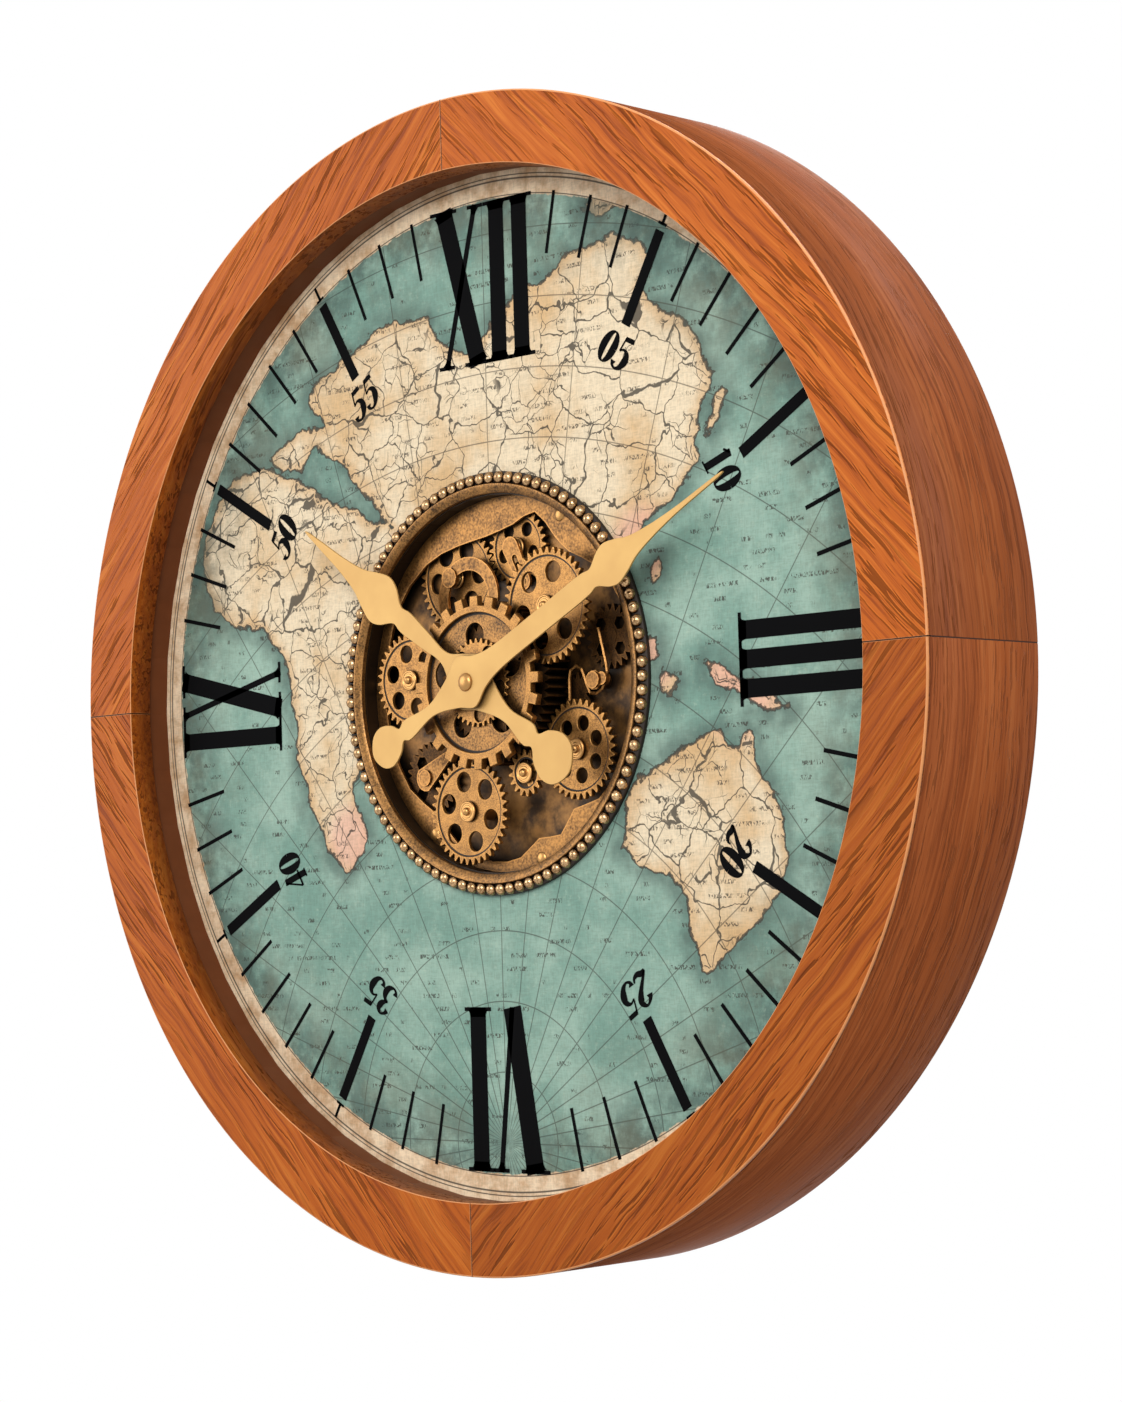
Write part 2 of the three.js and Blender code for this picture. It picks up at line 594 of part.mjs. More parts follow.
// Centre: a drum with a smaller crown wheel on it, and the coarse ring in front.
function buildCentre() {
  const bore = BUSH_RADIUS + RUNNING_GAP;
  const hub = bore + 4;
  const rim = wheelShape(DRUM_TEETH, drumPhase, axisPoint);
  rim.holes.push(circlePath(rootRadius(DRUM_TEETH) - DRUM_WALL));
  const rimHeight = LAYER_UPPER + WHEEL_SHEET + 0.5;
  const rimFrontY = LOWER_BACK_Y - rimHeight;
  const web = disc(rootRadius(DRUM_TEETH) - 0.3 * DRUM_WALL);
  web.holes.push(borePath(bore));
  const crownShape = lightened(
    wheelShape(CROWN_TEETH, drumPhase, axisPoint), axisPoint, 0, holes(5, 3.6, 12.9));
  crownShape.holes.push(borePath(bore));
  const sleeve = disc(hub);
  sleeve.holes.push(borePath(bore));
  const sleeveFrontY = COARSE_BACK_Y + GAP;
  const body = solidOf(plate(rim, LOWER_BACK_Y, rimHeight, 12))
    .add(solidOf(plate(web, rimFrontY + 2, 2, HOLE_STEPS + 1)))
    .add(solidOf(plate(crownShape, TOP_BACK_Y, WHEEL_SHEET, HOLE_STEPS + 1)))
    .add(solidOf(plate(sleeve, rimFrontY + 2, rimFrontY + 2 - sleeveFrontY, HOLE_STEPS + 1)));
  place("centre_drum", body, darkBronze);

  const root = COARSE_TIP_RADIUS - COARSE_TOOTH_DEPTH;
  const coarseTooth = [[root, -0.28], [COARSE_TIP_RADIUS, -0.23], [COARSE_TIP_RADIUS, 0.23], [root, 0.28]];
  const teeth = toothedShape(COARSE_TEETH, 0, axisPoint, coarseTooth);
  teeth.holes.push(circlePath(root - COARSE_RIM));
  const disk = lightened(disc(root - 1), axisPoint, 0.4, { count: 5, radius: 8, circle: 23 });
  disk.holes.push(borePath(bore));
  const ring = solidOf(plate(teeth, COARSE_BACK_Y, COARSE_SHEET, 16))
    .add(solidOf(plate(disk, COARSE_BACK_Y, COARSE_WEB_SHEET, 6)));
  place("centre_ring", ring, bronze);

  const bushFront = COARSE_BACK_Y - COARSE_WEB_SHEET - GAP;
  const bushBore = (HOUR_TUBE_RADIUS + RUNNING_GAP) / Math.cos(Math.PI / SMALL_STEPS);
  const flangeBack = FLOOR_FRONT_Y - GAP;
  place(
    "centre_bush",
    turned([
      [bushBore, bushFront],
      [BUSH_RADIUS, bushFront],
      [BUSH_RADIUS, flangeBack - BUSH_FLANGE_SHEET],
      [BUSH_FLANGE_RADIUS, flangeBack - BUSH_FLANGE_SHEET],
      [BUSH_FLANGE_RADIUS, flangeBack],
      [BUSH_RADIUS, flangeBack],
      [BUSH_RADIUS, FLOOR_BACK_Y],
      [bushBore, FLOOR_BACK_Y],
      [bushBore, bushFront],
    ], SMALL_STEPS),
    steel,
  );
}

// Levers and springs between the wheels

function buildLevers() {
  const backY = LOWER_BACK_Y - WHEEL_SHEET - LEVER_LIFT;
  const keepOut = solidOf(plate(disc(tipRadius(DRUM_TEETH) + 1), backY + 5, 10 + LEVER_SHEET));
  const postRadius = CAP_RADIUS - 1;
  const postProud = 1.2;
  const onPost = (shape, centre, footY) =>
    solidOf(plate(shape, backY, LEVER_SHEET, 5))
      .add(solidOf(plate(disc(postRadius, centre), footY, footY - backY + LEVER_SHEET + postProud, 6)));

  // The arch stands on the upper left arbor's cap.
  const capFront = LOWER_BACK_Y - WHEEL_SHEET - 2 * GAP - CAP_SHEET - NIPPLE_RADIUS;
  const archFoot = Math.min(capFront, backY - GAP);
  const archCentre = upperLeft.centre.clone().add(new THREE.Vector2(9.3, -8.6).multiplyScalar(MODULE));
  const archOuter = 15.7 * MODULE;
  const archInner = 10.7 * MODULE;
  const arch = new THREE.Shape();
  arch.absarc(archCentre.x, archCentre.y, archOuter, radians(-10), radians(200), false);
  arch.absarc(archCentre.x, archCentre.y, archInner, radians(200), radians(-10), true);
  place(
    "arch_bridge",
    solidOf(plate(arch, archFoot, LEVER_SHEET, 9))
      .add(solidOf(plate(disc(CAP_RADIUS, upperLeft.centre), archFoot, LEVER_SHEET + 1, 5)))
      .subtract(keepOut),
    bronze,
  );

  // The top lever hangs from the top arbor's cap as a long loop.
  const top = topWheel.centre;
  const loop = new THREE.Shape();
  const loopRadius = CAP_RADIUS;
  const loopEndRadius = 0.8 * loopRadius;
  const loopTilt = radians(-63);
  const legLength = 15 * MODULE;
  const legEnd = new THREE.Vector2(Math.cos(loopTilt), Math.sin(loopTilt)).multiplyScalar(legLength).add(top);
  loop.absarc(top.x, top.y, loopRadius, loopTilt + Math.PI / 2, loopTilt - Math.PI / 2, false);
  loop.absarc(legEnd.x, legEnd.y, loopEndRadius, loopTilt - Math.PI / 2, loopTilt + Math.PI / 2, false);
  const slot = new THREE.Path();
  const slotRadius = 0.33 * loopRadius;
  const slotStart = legEnd.clone().lerp(top, 0.68);
  slot.absarc(slotStart.x, slotStart.y, slotRadius, loopTilt - Math.PI / 2, loopTilt + Math.PI / 2, true);
  slot.absarc(legEnd.x, legEnd.y, slotRadius, loopTilt + Math.PI / 2, loopTilt - Math.PI / 2, true);
  loop.holes.push(slot);
  place("top_lever", plate(loop, archFoot, LEVER_SHEET, 5), bronze);

  // The left lever is a drop-shaped click on the lower left wheel.
  const drop = new THREE.Shape();
  const dropDegrees = 33;
  const dropTurn = radians(dropDegrees);
  const dropEnd = polar(15 * MODULE, dropDegrees).add(lowerLeftPost);
  drop.absarc(lowerLeftPost.x, lowerLeftPost.y, postRadius + 2.6, dropTurn + 1.9, dropTurn - 1.9, false);
  drop.absarc(dropEnd.x, dropEnd.y, 2.4, dropTurn - 1.4, dropTurn + 1.4, false);
  place("left_lever", onPost(drop, lowerLeftPost, LOWER_BACK_Y - WHEEL_SHEET - GAP), bronze);

  // The right spring is a bent wire on its own post. It runs behind the lower right wheel.
  const wireY = backY + WIRE_RADIUS;
  const route = [
    [1.4, 18.6], [3.6, 10], [5, 2.1], [1.4, -4.3], [-3.6, -4.3],
    [-5.7, 0.7], [-8.6, 5.7], [-12.9, 4.3], [-13.6, -2.1], [-13.6, -8.6],
  ];
  const path = new THREE.CatmullRomCurve3(
    route.map(([x, z]) => new THREE.Vector3(springPost.x + x * MODULE, wireY, springPost.y + z * MODULE)));
  const wire = new THREE.ExtrudeGeometry(disc(WIRE_RADIUS), {
    steps: 18,
    bevelEnabled: false,
    curveSegments: 3,
    extrudePath: path,
  });
  const armCentre = springPost.clone().add(new THREE.Vector2(postRadius + 0.6, 0.5));
  const arm = plate(disc(3.4, armCentre), backY + 2 * WIRE_RADIUS, LEVER_SHEET + 2 * WIRE_RADIUS, 6);
  const spring = onPost(disc(postRadius + 0.6, springPost), springPost, FLOOR_FRONT_Y - GAP)
    .add(solidOf(arm))
    .add(solidOf(wire));
  place("right_spring", spring, bronze);
}

// Hands

// A hand's outline along +X: the hub, an arm that ends in a collar, a notch, a shouldered blade that
// tapers to the tip, and a tail with a collar and a round lobe. Each pair is a place along and a half width.
function handShape(hand) {
  const { length, bladeAt, bladeHalf, rootHalf, collarHalf, hub, tailAt, tailHalf, lobe, hole, angle } = hand;
  const upper = [
    [hub * 0.72, hub * 0.66], [hub * 1.5, rootHalf * 1.08], [bladeAt / 2, (rootHalf + collarHalf) / 2],
    [bladeAt - bladeHalf * 1.7, collarHalf], [bladeAt - bladeHalf * 1.2, collarHalf * 0.85],
    [bladeAt - bladeHalf * 0.5, bladeHalf * 0.86], [bladeAt, bladeHalf],
    [bladeAt + bladeHalf * 0.7, bladeHalf * 0.8], [bladeAt + bladeHalf * 1.4, bladeHalf * 0.51],
    [bladeAt + bladeHalf * 2.5, bladeHalf * 0.3], [bladeAt + bladeHalf * 4.2, bladeHalf * 0.14],
    [length - bladeHalf * 0.15, bladeHalf * 0.05],
  ];
  const tail = [
    [-tailAt - lobe * 0.6, lobe * 0.8], [-tailAt, lobe], [-tailAt + lobe * 0.7, lobe * 0.72],
    [-tailAt + lobe * 1.12, tailHalf * 1.1], [-tailAt + lobe * 1.5, tailHalf * 1.65],
    [-hub * 2, tailHalf], [-hub * 0.75, hub * 0.62],
  ];
  const crest = [0, hub];
  const side = [...tail, crest, ...upper];
  const nose = [length, 0];
  const heel = [-tailAt - lobe, 0];
  const loop = [heel, ...side, nose, ...[...side].reverse().map(([x, z]) => [x, -z])];
  const turn = radians(90 - angle);
  const points = loop.map(([x, z]) => new THREE.Vector3(
    x * Math.cos(turn) - z * Math.sin(turn), x * Math.sin(turn) + z * Math.cos(turn), 0));
  const curve = new THREE.CatmullRomCurve3(points, true, "centripetal");
  const outline = curve.getPoints(2 * points.length).slice(0, -1).reverse();
  const shape = new THREE.Shape(outline.map((p) => new THREE.Vector2(p.x, p.y)));
  shape.holes.push(borePath(hole));
  return shape;
}

function buildHands() {
  const hour = handShape({
    length: HOUR_LENGTH,
    bladeAt: HOUR_BLADE_AT,
    bladeHalf: HOUR_BLADE_HALF,
    rootHalf: HOUR_ROOT_HALF,
    collarHalf: HOUR_COLLAR_HALF,
    hub: HOUR_HUB_RADIUS,
    tailAt: HOUR_TAIL_AT,
    tailHalf: HOUR_TAIL_HALF,
    lobe: HOUR_LOBE_RADIUS,
    hole: HOUR_TUBE_RADIUS + GAP,
    angle: HOUR_ANGLE_DEG,
  });
  const tube = disc(HOUR_TUBE_RADIUS);
  tube.holes.push(borePath(MINUTE_ARBOR_RADIUS + RUNNING_GAP));
  place("hour_hand", plate(hour, HOUR_BACK_Y, HAND_SHEET), handGold);
  place("hour_tube", plate(tube, FLOOR_BACK_Y, FLOOR_BACK_Y - HOUR_BACK_Y + HAND_SHEET), steel);

  const minute = handShape({
    length: MINUTE_LENGTH,
    bladeAt: MINUTE_BLADE_AT,
    bladeHalf: MINUTE_BLADE_HALF,
    rootHalf: MINUTE_ROOT_HALF,
    collarHalf: MINUTE_COLLAR_HALF,
    hub: MINUTE_HUB_RADIUS,
    tailAt: MINUTE_TAIL_AT,
    tailHalf: MINUTE_TAIL_HALF,
    lobe: MINUTE_LOBE_RADIUS,
    hole: MINUTE_ARBOR_RADIUS + GAP,
    angle: MINUTE_ANGLE_DEG,
  });
  place("minute_hand", plate(minute, MINUTE_BACK_Y, HAND_SHEET, 6), handGold);

  const arbor = [[0, MINUTE_FRONT_Y], [MINUTE_ARBOR_RADIUS, MINUTE_FRONT_Y]];
  arbor.push([MINUTE_ARBOR_RADIUS, DRIVE_BACK_Y], [0, DRIVE_BACK_Y]);
  place("minute_arbor", turned(arbor, SMALL_STEPS), steel);
  const knobFront = DRIVE_BACK_Y + GAP;
  const knob = [[0, knobFront], [KNOB_RADIUS, knobFront]];
  knob.push([KNOB_RADIUS, knobFront + KNOB_HEIGHT], [0, knobFront + KNOB_HEIGHT]);
  place("setting_knob", turned(knob, SMALL_STEPS), blackPlastic);

  const nutBack = MINUTE_FRONT_Y - GAP;
  const nut = turned([
    [0, nutBack - NUT_HEIGHT],
    [NUT_RADIUS * 0.55, nutBack - NUT_HEIGHT * 0.88],
    [NUT_RADIUS * 0.92, nutBack - NUT_HEIGHT * 0.5],
    [NUT_RADIUS, nutBack],
    [0, nutBack],
  ], SMALL_STEPS);
  place("hand_nut", nut, handGold);
}

// Clock movement and gear motor

function roundedBox(centre, width, tall, corner) {
  const shape = new THREE.Shape();
  const x = width / 2 - corner;
  const z = tall / 2 - corner;
  shape.absarc(centre.x + x, centre.y + z, corner, 0, Math.PI / 2, false);
  shape.absarc(centre.x - x, centre.y + z, corner, Math.PI / 2, Math.PI, false);
  shape.absarc(centre.x - x, centre.y - z, corner, Math.PI, 1.5 * Math.PI, false);
  shape.absarc(centre.x + x, centre.y - z, corner, 1.5 * Math.PI, 2 * Math.PI, false);
  return shape;
}

// A cell lying along X in its trough.
function cell(centre, y) {
  const half = CELL_LENGTH / 2;
  const body = new THREE.LatheGeometry([
    new THREE.Vector2(0, -half),
    new THREE.Vector2(CELL_RADIUS, -half),
    new THREE.Vector2(CELL_RADIUS, half - CELL_NIPPLE_LENGTH),
    new THREE.Vector2(CELL_NIPPLE_RADIUS, half - CELL_NIPPLE_LENGTH),
    new THREE.Vector2(CELL_NIPPLE_RADIUS, half),
    new THREE.Vector2(0, half),
  ], SMALL_STEPS);
  return body.rotateZ(-Math.PI / 2).translate(centre.x, y, centre.y);
}

function driveCase(centre, width, tall, cellCentre) {
  const trough = roundedBox(cellCentre, CELL_LENGTH + 2 * GAP, 2 * (CELL_RADIUS + GAP), 0.5);
  const troughDepth = 2 * CELL_RADIUS + GAP;
  return solidOf(plate(roundedBox(centre, width, tall, 4), DRIVE_BACK_Y, DRIVE_DEPTH, 4))
    .subtract(solidOf(plate(trough, DRIVE_BACK_Y + 1, troughDepth + 1, 2)));
}

function buildDrives() {
  const cellY = DRIVE_BACK_Y - CELL_RADIUS;
  const cellInset = CELL_RADIUS + 2;
  const movementCell = new THREE.Vector2(0, -MOVEMENT_SIZE / 2 + cellInset);
  const boreShape = (radius, centre) => new THREE.Shape(borePath(radius, centre).getPoints());
  const arborHole = plate(boreShape(MINUTE_ARBOR_RADIUS + RUNNING_GAP), DRIVE_BACK_Y + 1, DRIVE_DEPTH + 2);
  place(
    "movement_case",
    driveCase(axisPoint, MOVEMENT_SIZE, MOVEMENT_SIZE, movementCell).subtract(solidOf(arborHole)),
    blackPlastic,
  );
  place("movement_cell", cell(movementCell, cellY), cellPrint);

  const motorCentre = new THREE.Vector2(MOVEMENT_SIZE / 2 + 3 + MOTOR_WIDTH / 2, motorShaft.y);
  const motorCell = motorCentre.clone().add(new THREE.Vector2(0, -MOTOR_TALL / 2 + cellInset));
  const shaftRear = DRIVE_FRONT_Y + 5;
  const shaftHole = plate(boreShape(MOTOR_SHAFT_RADIUS + RUNNING_GAP, motorShaft), shaftRear + GAP, 10);
  const switchCentre = motorCentre.clone().add(new THREE.Vector2(0, MOTOR_TALL / 4));
  const slotWidth = SWITCH_WIDTH + SWITCH_TRAVEL + 2 * GAP;
  const slot = roundedBox(
    switchCentre.clone().add(new THREE.Vector2(SWITCH_TRAVEL / 2, 0)), slotWidth, SWITCH_TALL + 2 * GAP, 0.3);
  place(
    "motor_case",
    driveCase(motorCentre, MOTOR_WIDTH, MOTOR_TALL, motorCell)
      .subtract(solidOf(shaftHole))
      .subtract(solidOf(plate(slot, DRIVE_BACK_Y + 1, SWITCH_SLOT_DEPTH + 1, 2))),
    blackPlastic,
  );
  place("motor_cell", cell(motorCell, cellY), cellPrint);
  const slider = roundedBox(switchCentre, SWITCH_WIDTH, SWITCH_TALL, 0.4);
  place(
    "gear_switch",
    plate(slider, DRIVE_BACK_Y + SWITCH_PROUD, SWITCH_PROUD + SWITCH_SLOT_DEPTH - GAP, 2),
    blackPlastic,
  );

  const phase = meshPhase(DRUM_TEETH, drumPhase, PINION_TEETH, MOTOR_ANGLE_DEG);
  const pinion = solidOf(plate(wheelShape(PINION_TEETH, phase, motorShaft), LOWER_BACK_Y, WHEEL_SHEET))
    .add(solidOf(plate(disc(MOTOR_SHAFT_RADIUS, motorShaft), shaftRear, shaftRear - LOWER_BACK_Y + 1, 6)));
  place("motor_pinion", pinion, steel);
}

buildCase();
buildBoards();
buildWell();
buildBezel();
buildWheels();
buildFixedWheels();
buildCentre();
buildLevers();
buildHands();
buildDrives();

export default clock;
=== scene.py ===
import math
from math import cos, radians, sin

import bmesh
import bpy
import numpy as np
from mathutils import Matrix, Vector


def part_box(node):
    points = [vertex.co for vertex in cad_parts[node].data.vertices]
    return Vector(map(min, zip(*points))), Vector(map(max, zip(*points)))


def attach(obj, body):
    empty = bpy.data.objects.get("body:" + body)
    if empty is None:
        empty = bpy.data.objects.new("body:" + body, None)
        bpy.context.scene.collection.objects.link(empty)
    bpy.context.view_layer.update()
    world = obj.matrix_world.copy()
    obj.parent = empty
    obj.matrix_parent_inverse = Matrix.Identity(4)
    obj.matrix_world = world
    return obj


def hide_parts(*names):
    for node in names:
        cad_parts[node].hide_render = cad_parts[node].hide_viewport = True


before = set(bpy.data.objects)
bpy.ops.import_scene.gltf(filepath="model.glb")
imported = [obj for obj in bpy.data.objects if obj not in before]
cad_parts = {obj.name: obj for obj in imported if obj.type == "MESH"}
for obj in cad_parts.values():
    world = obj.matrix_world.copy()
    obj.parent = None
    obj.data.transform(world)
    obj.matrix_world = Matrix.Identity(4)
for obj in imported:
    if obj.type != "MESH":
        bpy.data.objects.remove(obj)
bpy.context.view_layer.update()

MM = 0.001
TAU = 2 * math.pi


def front_of(node):
    """The plane of a CAD node's front in millimetres. The front is -Y."""
    return round(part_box(node)[0].y / MM, 2)


def back_of(node):
    """The plane of a CAD node's rear in millimetres."""
    return round(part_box(node)[1].y / MM, 2)


def reach_of(node):
    """How far to the right a CAD node reaches in millimetres."""
    return round(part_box(node)[1].x / MM, 1)


# Sizes in millimetres: three widths, and what follows from them and from the CAD part
FACE_WIDTH = 37.0
SIDE_THICK = 12.0
BEZEL_WIDTH = 11.0
CASE_R = reach_of("face_segment_top_right")
FACE_IN = CASE_R - FACE_WIDTH
SIDE_IN = CASE_R - SIDE_THICK
FRONT_Y = front_of("face_segment_top_right")
FACE_BACK = back_of("face_segment_top_right")
DIAL_Y = front_of("dial_board")
BEZEL_OUT = reach_of("beaded_bezel")
BEZEL_IN = BEZEL_OUT - BEZEL_WIDTH
WELL_R = BEZEL_IN - 0.5


def lin(*rgb):
    """An 8-bit screen colour as linear light."""
    out = []
    for c in rgb:
        c = c / 255.0
        out.append(c / 12.92 if c <= 0.04045 else ((c + 0.055) / 1.055) ** 2.4)
    return (*out, 1.0)


BRIGHTEST = 0.95


def shade(colour, share):
    """A linear colour made darker or lighter, short of pure white."""
    return tuple(min(c * share, BRIGHTEST) for c in colour[:3]) + (1.0,)


class Paint:
    """A node material that is written one socket at a time."""

    def __init__(self, name):
        self.material = bpy.data.materials.new(name)
        self.material.use_nodes = True
        self.tree = self.material.node_tree
        self.tree.nodes.clear()
        output = self.tree.nodes.new("ShaderNodeOutputMaterial")
        self.bsdf = self.tree.nodes.new("ShaderNodeBsdfPrincipled")
        self.tree.links.new(self.bsdf.outputs[0], output.inputs["Surface"])

    def put(self, socket, value):
        if isinstance(value, bpy.types.NodeSocket):
            self.tree.links.new(value, socket)
        elif value is not None:
            socket.default_value = value

    def node(self, kind, inputs=None, **settings):
        made = self.tree.nodes.new("ShaderNode" + kind)
        for key, value in settings.items():
            setattr(made, key, value)
        for key, value in (inputs or {}).items():
            self.put(made.inputs[key], value)
        return made

    def math(self, operation, a, b=None, c=None):
        made = self.node("Math", operation=operation)
        for index, value in enumerate((a, b, c)):
            self.put(made.inputs[index], value)
        return made.outputs[0]

    def times(self, a, b):
        return self.math("MULTIPLY", a, b)

    def less(self, a, b):
        return self.math("SUBTRACT", a, b)

    def most(self, a, b):
        return self.math("MAXIMUM", a, b)

    def reach(self, x, z):
        """The length of a line that runs x across and z up."""
        return self.math("SQRT", self.math("ADD", self.times(x, x), self.times(z, z)))

    def vector(self, operation, a, b):
        made = self.node("VectorMath", operation=operation)
        self.put(made.inputs[0], a)
        self.put(made.inputs[1], b)
        return made.outputs[0]

    def mix(self, factor, a, b):
        made = self.node("Mix", data_type="RGBA")
        self.put(made.inputs[0], factor)
        self.put(made.inputs[6], a)
        self.put(made.inputs[7], b)
        return made.outputs[2]

    def step(self, value, low, high, out_low=0.0, out_high=1.0):
        made = self.node("MapRange", interpolation_type="SMOOTHSTEP", clamp=True)
        for index, item in enumerate((value, low, high, out_low, out_high)):
            self.put(made.inputs[index], item)
        return made.outputs[0]

    def noise(self, vector, scale, detail=2.0, rough=0.5, distortion=0.0):
        made = self.node("TexNoise", {
            "Vector": vector, "Scale": scale, "Detail": detail,
            "Roughness": rough, "Distortion": distortion})
        return made.outputs[0]

    def stretched(self, vector, per_metre, detail=2.0, rough=0.5):
        """Noise with its own count of details per metre along each axis."""
        return self.noise(self.vector("MULTIPLY", vector, per_metre), 1.0, detail, rough)

    def cell_edges(self, vector, scale):
        inputs = {"Vector": vector, "Scale": scale}
        return self.node("TexVoronoi", inputs, feature="DISTANCE_TO_EDGE").outputs[0]

    def openness(self, distance, **settings):
        """One in the open and less in a hollow, or beside an edge when it looks inside the piece."""
        made = self.node("AmbientOcclusion", {"Distance": distance}, samples=6, **settings)
        return made.outputs["AO"]

    def place(self):
        return self.node("NewGeometry").outputs["Position"]

    def split(self, vector):
        return self.node("SeparateXYZ", {"Vector": vector}).outputs

    def bump(self, height, strength, distance):
        made = self.node("Bump", {"Height": height, "Strength": strength, "Distance": distance})
        self.put(self.bsdf.inputs["Normal"], made.outputs[0])

    def specular(self, level):
        self.put(self.bsdf.inputs["Specular IOR Level"], level)

    def surface(self, colour, rough, metallic=0.0):
        self.put(self.bsdf.inputs["Base Color"], colour)
        self.put(self.bsdf.inputs["Roughness"], rough)
        self.put(self.bsdf.inputs["Metallic"], metallic)
        return self.material


# Materials. Lengths in them are metres.


def wood(name, tones, seed, rough=0.4, pore_size=(26, 500), depth=0.72):
    """Stained open-pored oak, with painted highlights beside the pores. The grain attribute runs along the
    board, across it and through it.
    """
    dark, middle, light = tones
    p = Paint(name)
    p.specular(0.1)
    grain = p.node("Attribute", attribute_name="grain").outputs["Vector"]
    shifted = p.vector("ADD", grain, (seed * 1.7, seed * 0.9, seed * 0.37))
    sway = p.stretched(shifted, (11, 24, 24))
    bend = p.node("CombineXYZ", {"Y": p.times(sway, 0.012)})
    shifted = p.vector("ADD", shifted, bend.outputs[0])
    flow = p.stretched(shifted, (4, 36, 36), 3.0, 0.6)
    streak = p.stretched(shifted, (9, 330, 330), 4.0, 0.7)
    early = p.stretched(shifted, (3.5, 70, 70))
    along, across = pore_size
    pores = p.stretched(shifted, (along, across, across), 2.0, 0.6)
    # Painted highlight: pale flecks on one side of each pore, as if light caught the pore's far lip.
    beside = p.vector("ADD", shifted, (0.0, 0.0006, 0.0))
    pore_glint_noise = p.stretched(beside, (along, across, across), 2.0, 0.6)
    tone = p.math("MULTIPLY_ADD", streak, 0.7, p.times(flow, 0.3))
    colour = p.mix(p.step(tone, 0.38, 0.5), dark, middle)
    colour = p.mix(p.step(tone, 0.5, 0.62), colour, light)
    density = p.step(early, 0.38, 0.56, 0.3, 1.0)
    pits = p.times(p.step(pores, 0.555, 0.59), density)
    pore_glint = p.times(p.step(pore_glint_noise, 0.57, 0.6), density)
    colour = p.mix(p.times(pore_glint, depth * 0.4), colour, shade(light, 1.5))
    colour = p.mix(p.times(pits, depth), colour, shade(dark, 0.4))
    p.bump(p.less(p.times(streak, 0.3), pits), 0.5, 0.0006)
    return p.surface(colour, p.math("MULTIPLY_ADD", pits, 0.25, rough))


def metal(name, dark, bright, rough=0.4, metallic=0.85, scale=130.0, wash=0.5, worn=0.6):
    """Plated metal with a dark antique wash in the hollows, which also paints the shade under and between
    neighbouring parts, and bright edges that are partly wear and partly a painted highlight.
    """
    p = Paint(name)
    place = p.place()
    cloud = p.noise(place, scale, 4.0, 0.6)
    speck = p.noise(place, scale * 9)
    mask = p.math("MULTIPLY_ADD", speck, 0.6, p.times(cloud, 0.45))
    colour = p.mix(p.step(mask, 0.3, 0.3 + wash), dark, bright)
    # Painted shade and antique wash: darker where this piece or a neighbouring part hems the surface in.
    hollow = p.openness(0.009)
    edge = p.openness(0.0011, inside=True, only_local=True)
    # Painted highlight and wear: the edges turn brighter than the bright tone.
    colour = p.mix(p.step(edge, 0.9, 0.5, 0.0, worn), colour, shade(bright, 1.35))
    colour = p.mix(p.step(hollow, 0.85, 0.35, 0.0, 0.92), colour, shade(dark, 0.22))
    p.bump(speck, 0.12, 0.0004)
    return p.surface(colour, p.math("MULTIPLY_ADD", cloud, 0.18, rough - 0.09), metallic)


def well_paint():
    """A floor of stained bronze with painted shade that deepens towards the wall and in the hollows, with
    bare plastic behind it.
    """
    p = Paint("well_bronze")
    place = p.place()
    x, y, z = p.split(place)
    cloud = p.noise(place, 60.0, 4.0, 0.65)
    floor = p.mix(p.step(cloud, 0.36, 0.68), lin(52, 34, 16), lin(150, 106, 55))
    # Painted shade: the floor goes dark towards the well's wall.
    wall = (WELL_R - 1.0) * MM
    colour = p.mix(p.step(p.reach(x, z), 0.075, wall), floor, lin(44, 29, 14))
    rear = back_of("gear_well")
    behind = p.step(y, (rear - 2.2) * MM, (rear - 1.2) * MM)
    # Painted shade in the hollows and under the parts that stand over the floor.
    colour = p.mix(p.step(p.openness(0.014), 0.8, 0.35, 0.0, 0.9), colour, lin(16, 10, 5))
    colour = p.mix(behind, colour, lin(58, 50, 42))
    return p.surface(colour, 0.48, p.math("MULTIPLY_ADD", behind, -0.6, 0.6))


def fibre_board():
    """Bare hardboard with short fibres."""
    p = Paint("fibre_board")
    place = p.place()
    cloud = p.noise(place, 26.0, 4.0, 0.6)
    fibre = p.stretched(place, (1500, 300, 420), 3.0, 0.6)
    colour = p.mix(p.step(cloud, 0.3, 0.72), lin(158, 124, 87), lin(172, 138, 100))
    colour = p.mix(p.step(fibre, 0.54, 0.68, 0.0, 0.55), colour, lin(112, 82, 52))
    p.bump(fibre, 0.2, 0.0004)
    return p.surface(colour, 0.8)


def hand_gold():
    """Smooth lacquered gold, with painted shade where the hands lie close together."""
    p = Paint("hand_gold")
    p.specular(0.3)
    cloud = p.noise(p.place(), 40.0, 3.0)
    colour = p.mix(p.step(cloud, 0.3, 0.75), lin(193, 151, 88), lin(204, 163, 97))
    # Painted shade where the other hand, the nut or the hub lies close.
    colour = p.mix(p.step(p.openness(0.007), 0.92, 0.45, 0.0, 0.85), colour, lin(92, 62, 28))
    return p.surface(colour, 0.5, 0.3)


def plain(name, colour, rough, metallic=0.0, shine=0.5):
    """One colour with a faint cloud in it."""
    p = Paint(name)
    p.specular(shine)
    cloud = p.noise(p.place(), 90.0, 3.0)
    return p.surface(p.mix(p.step(cloud, 0.3, 0.75), shade(colour, 0.88), colour), rough, metallic)


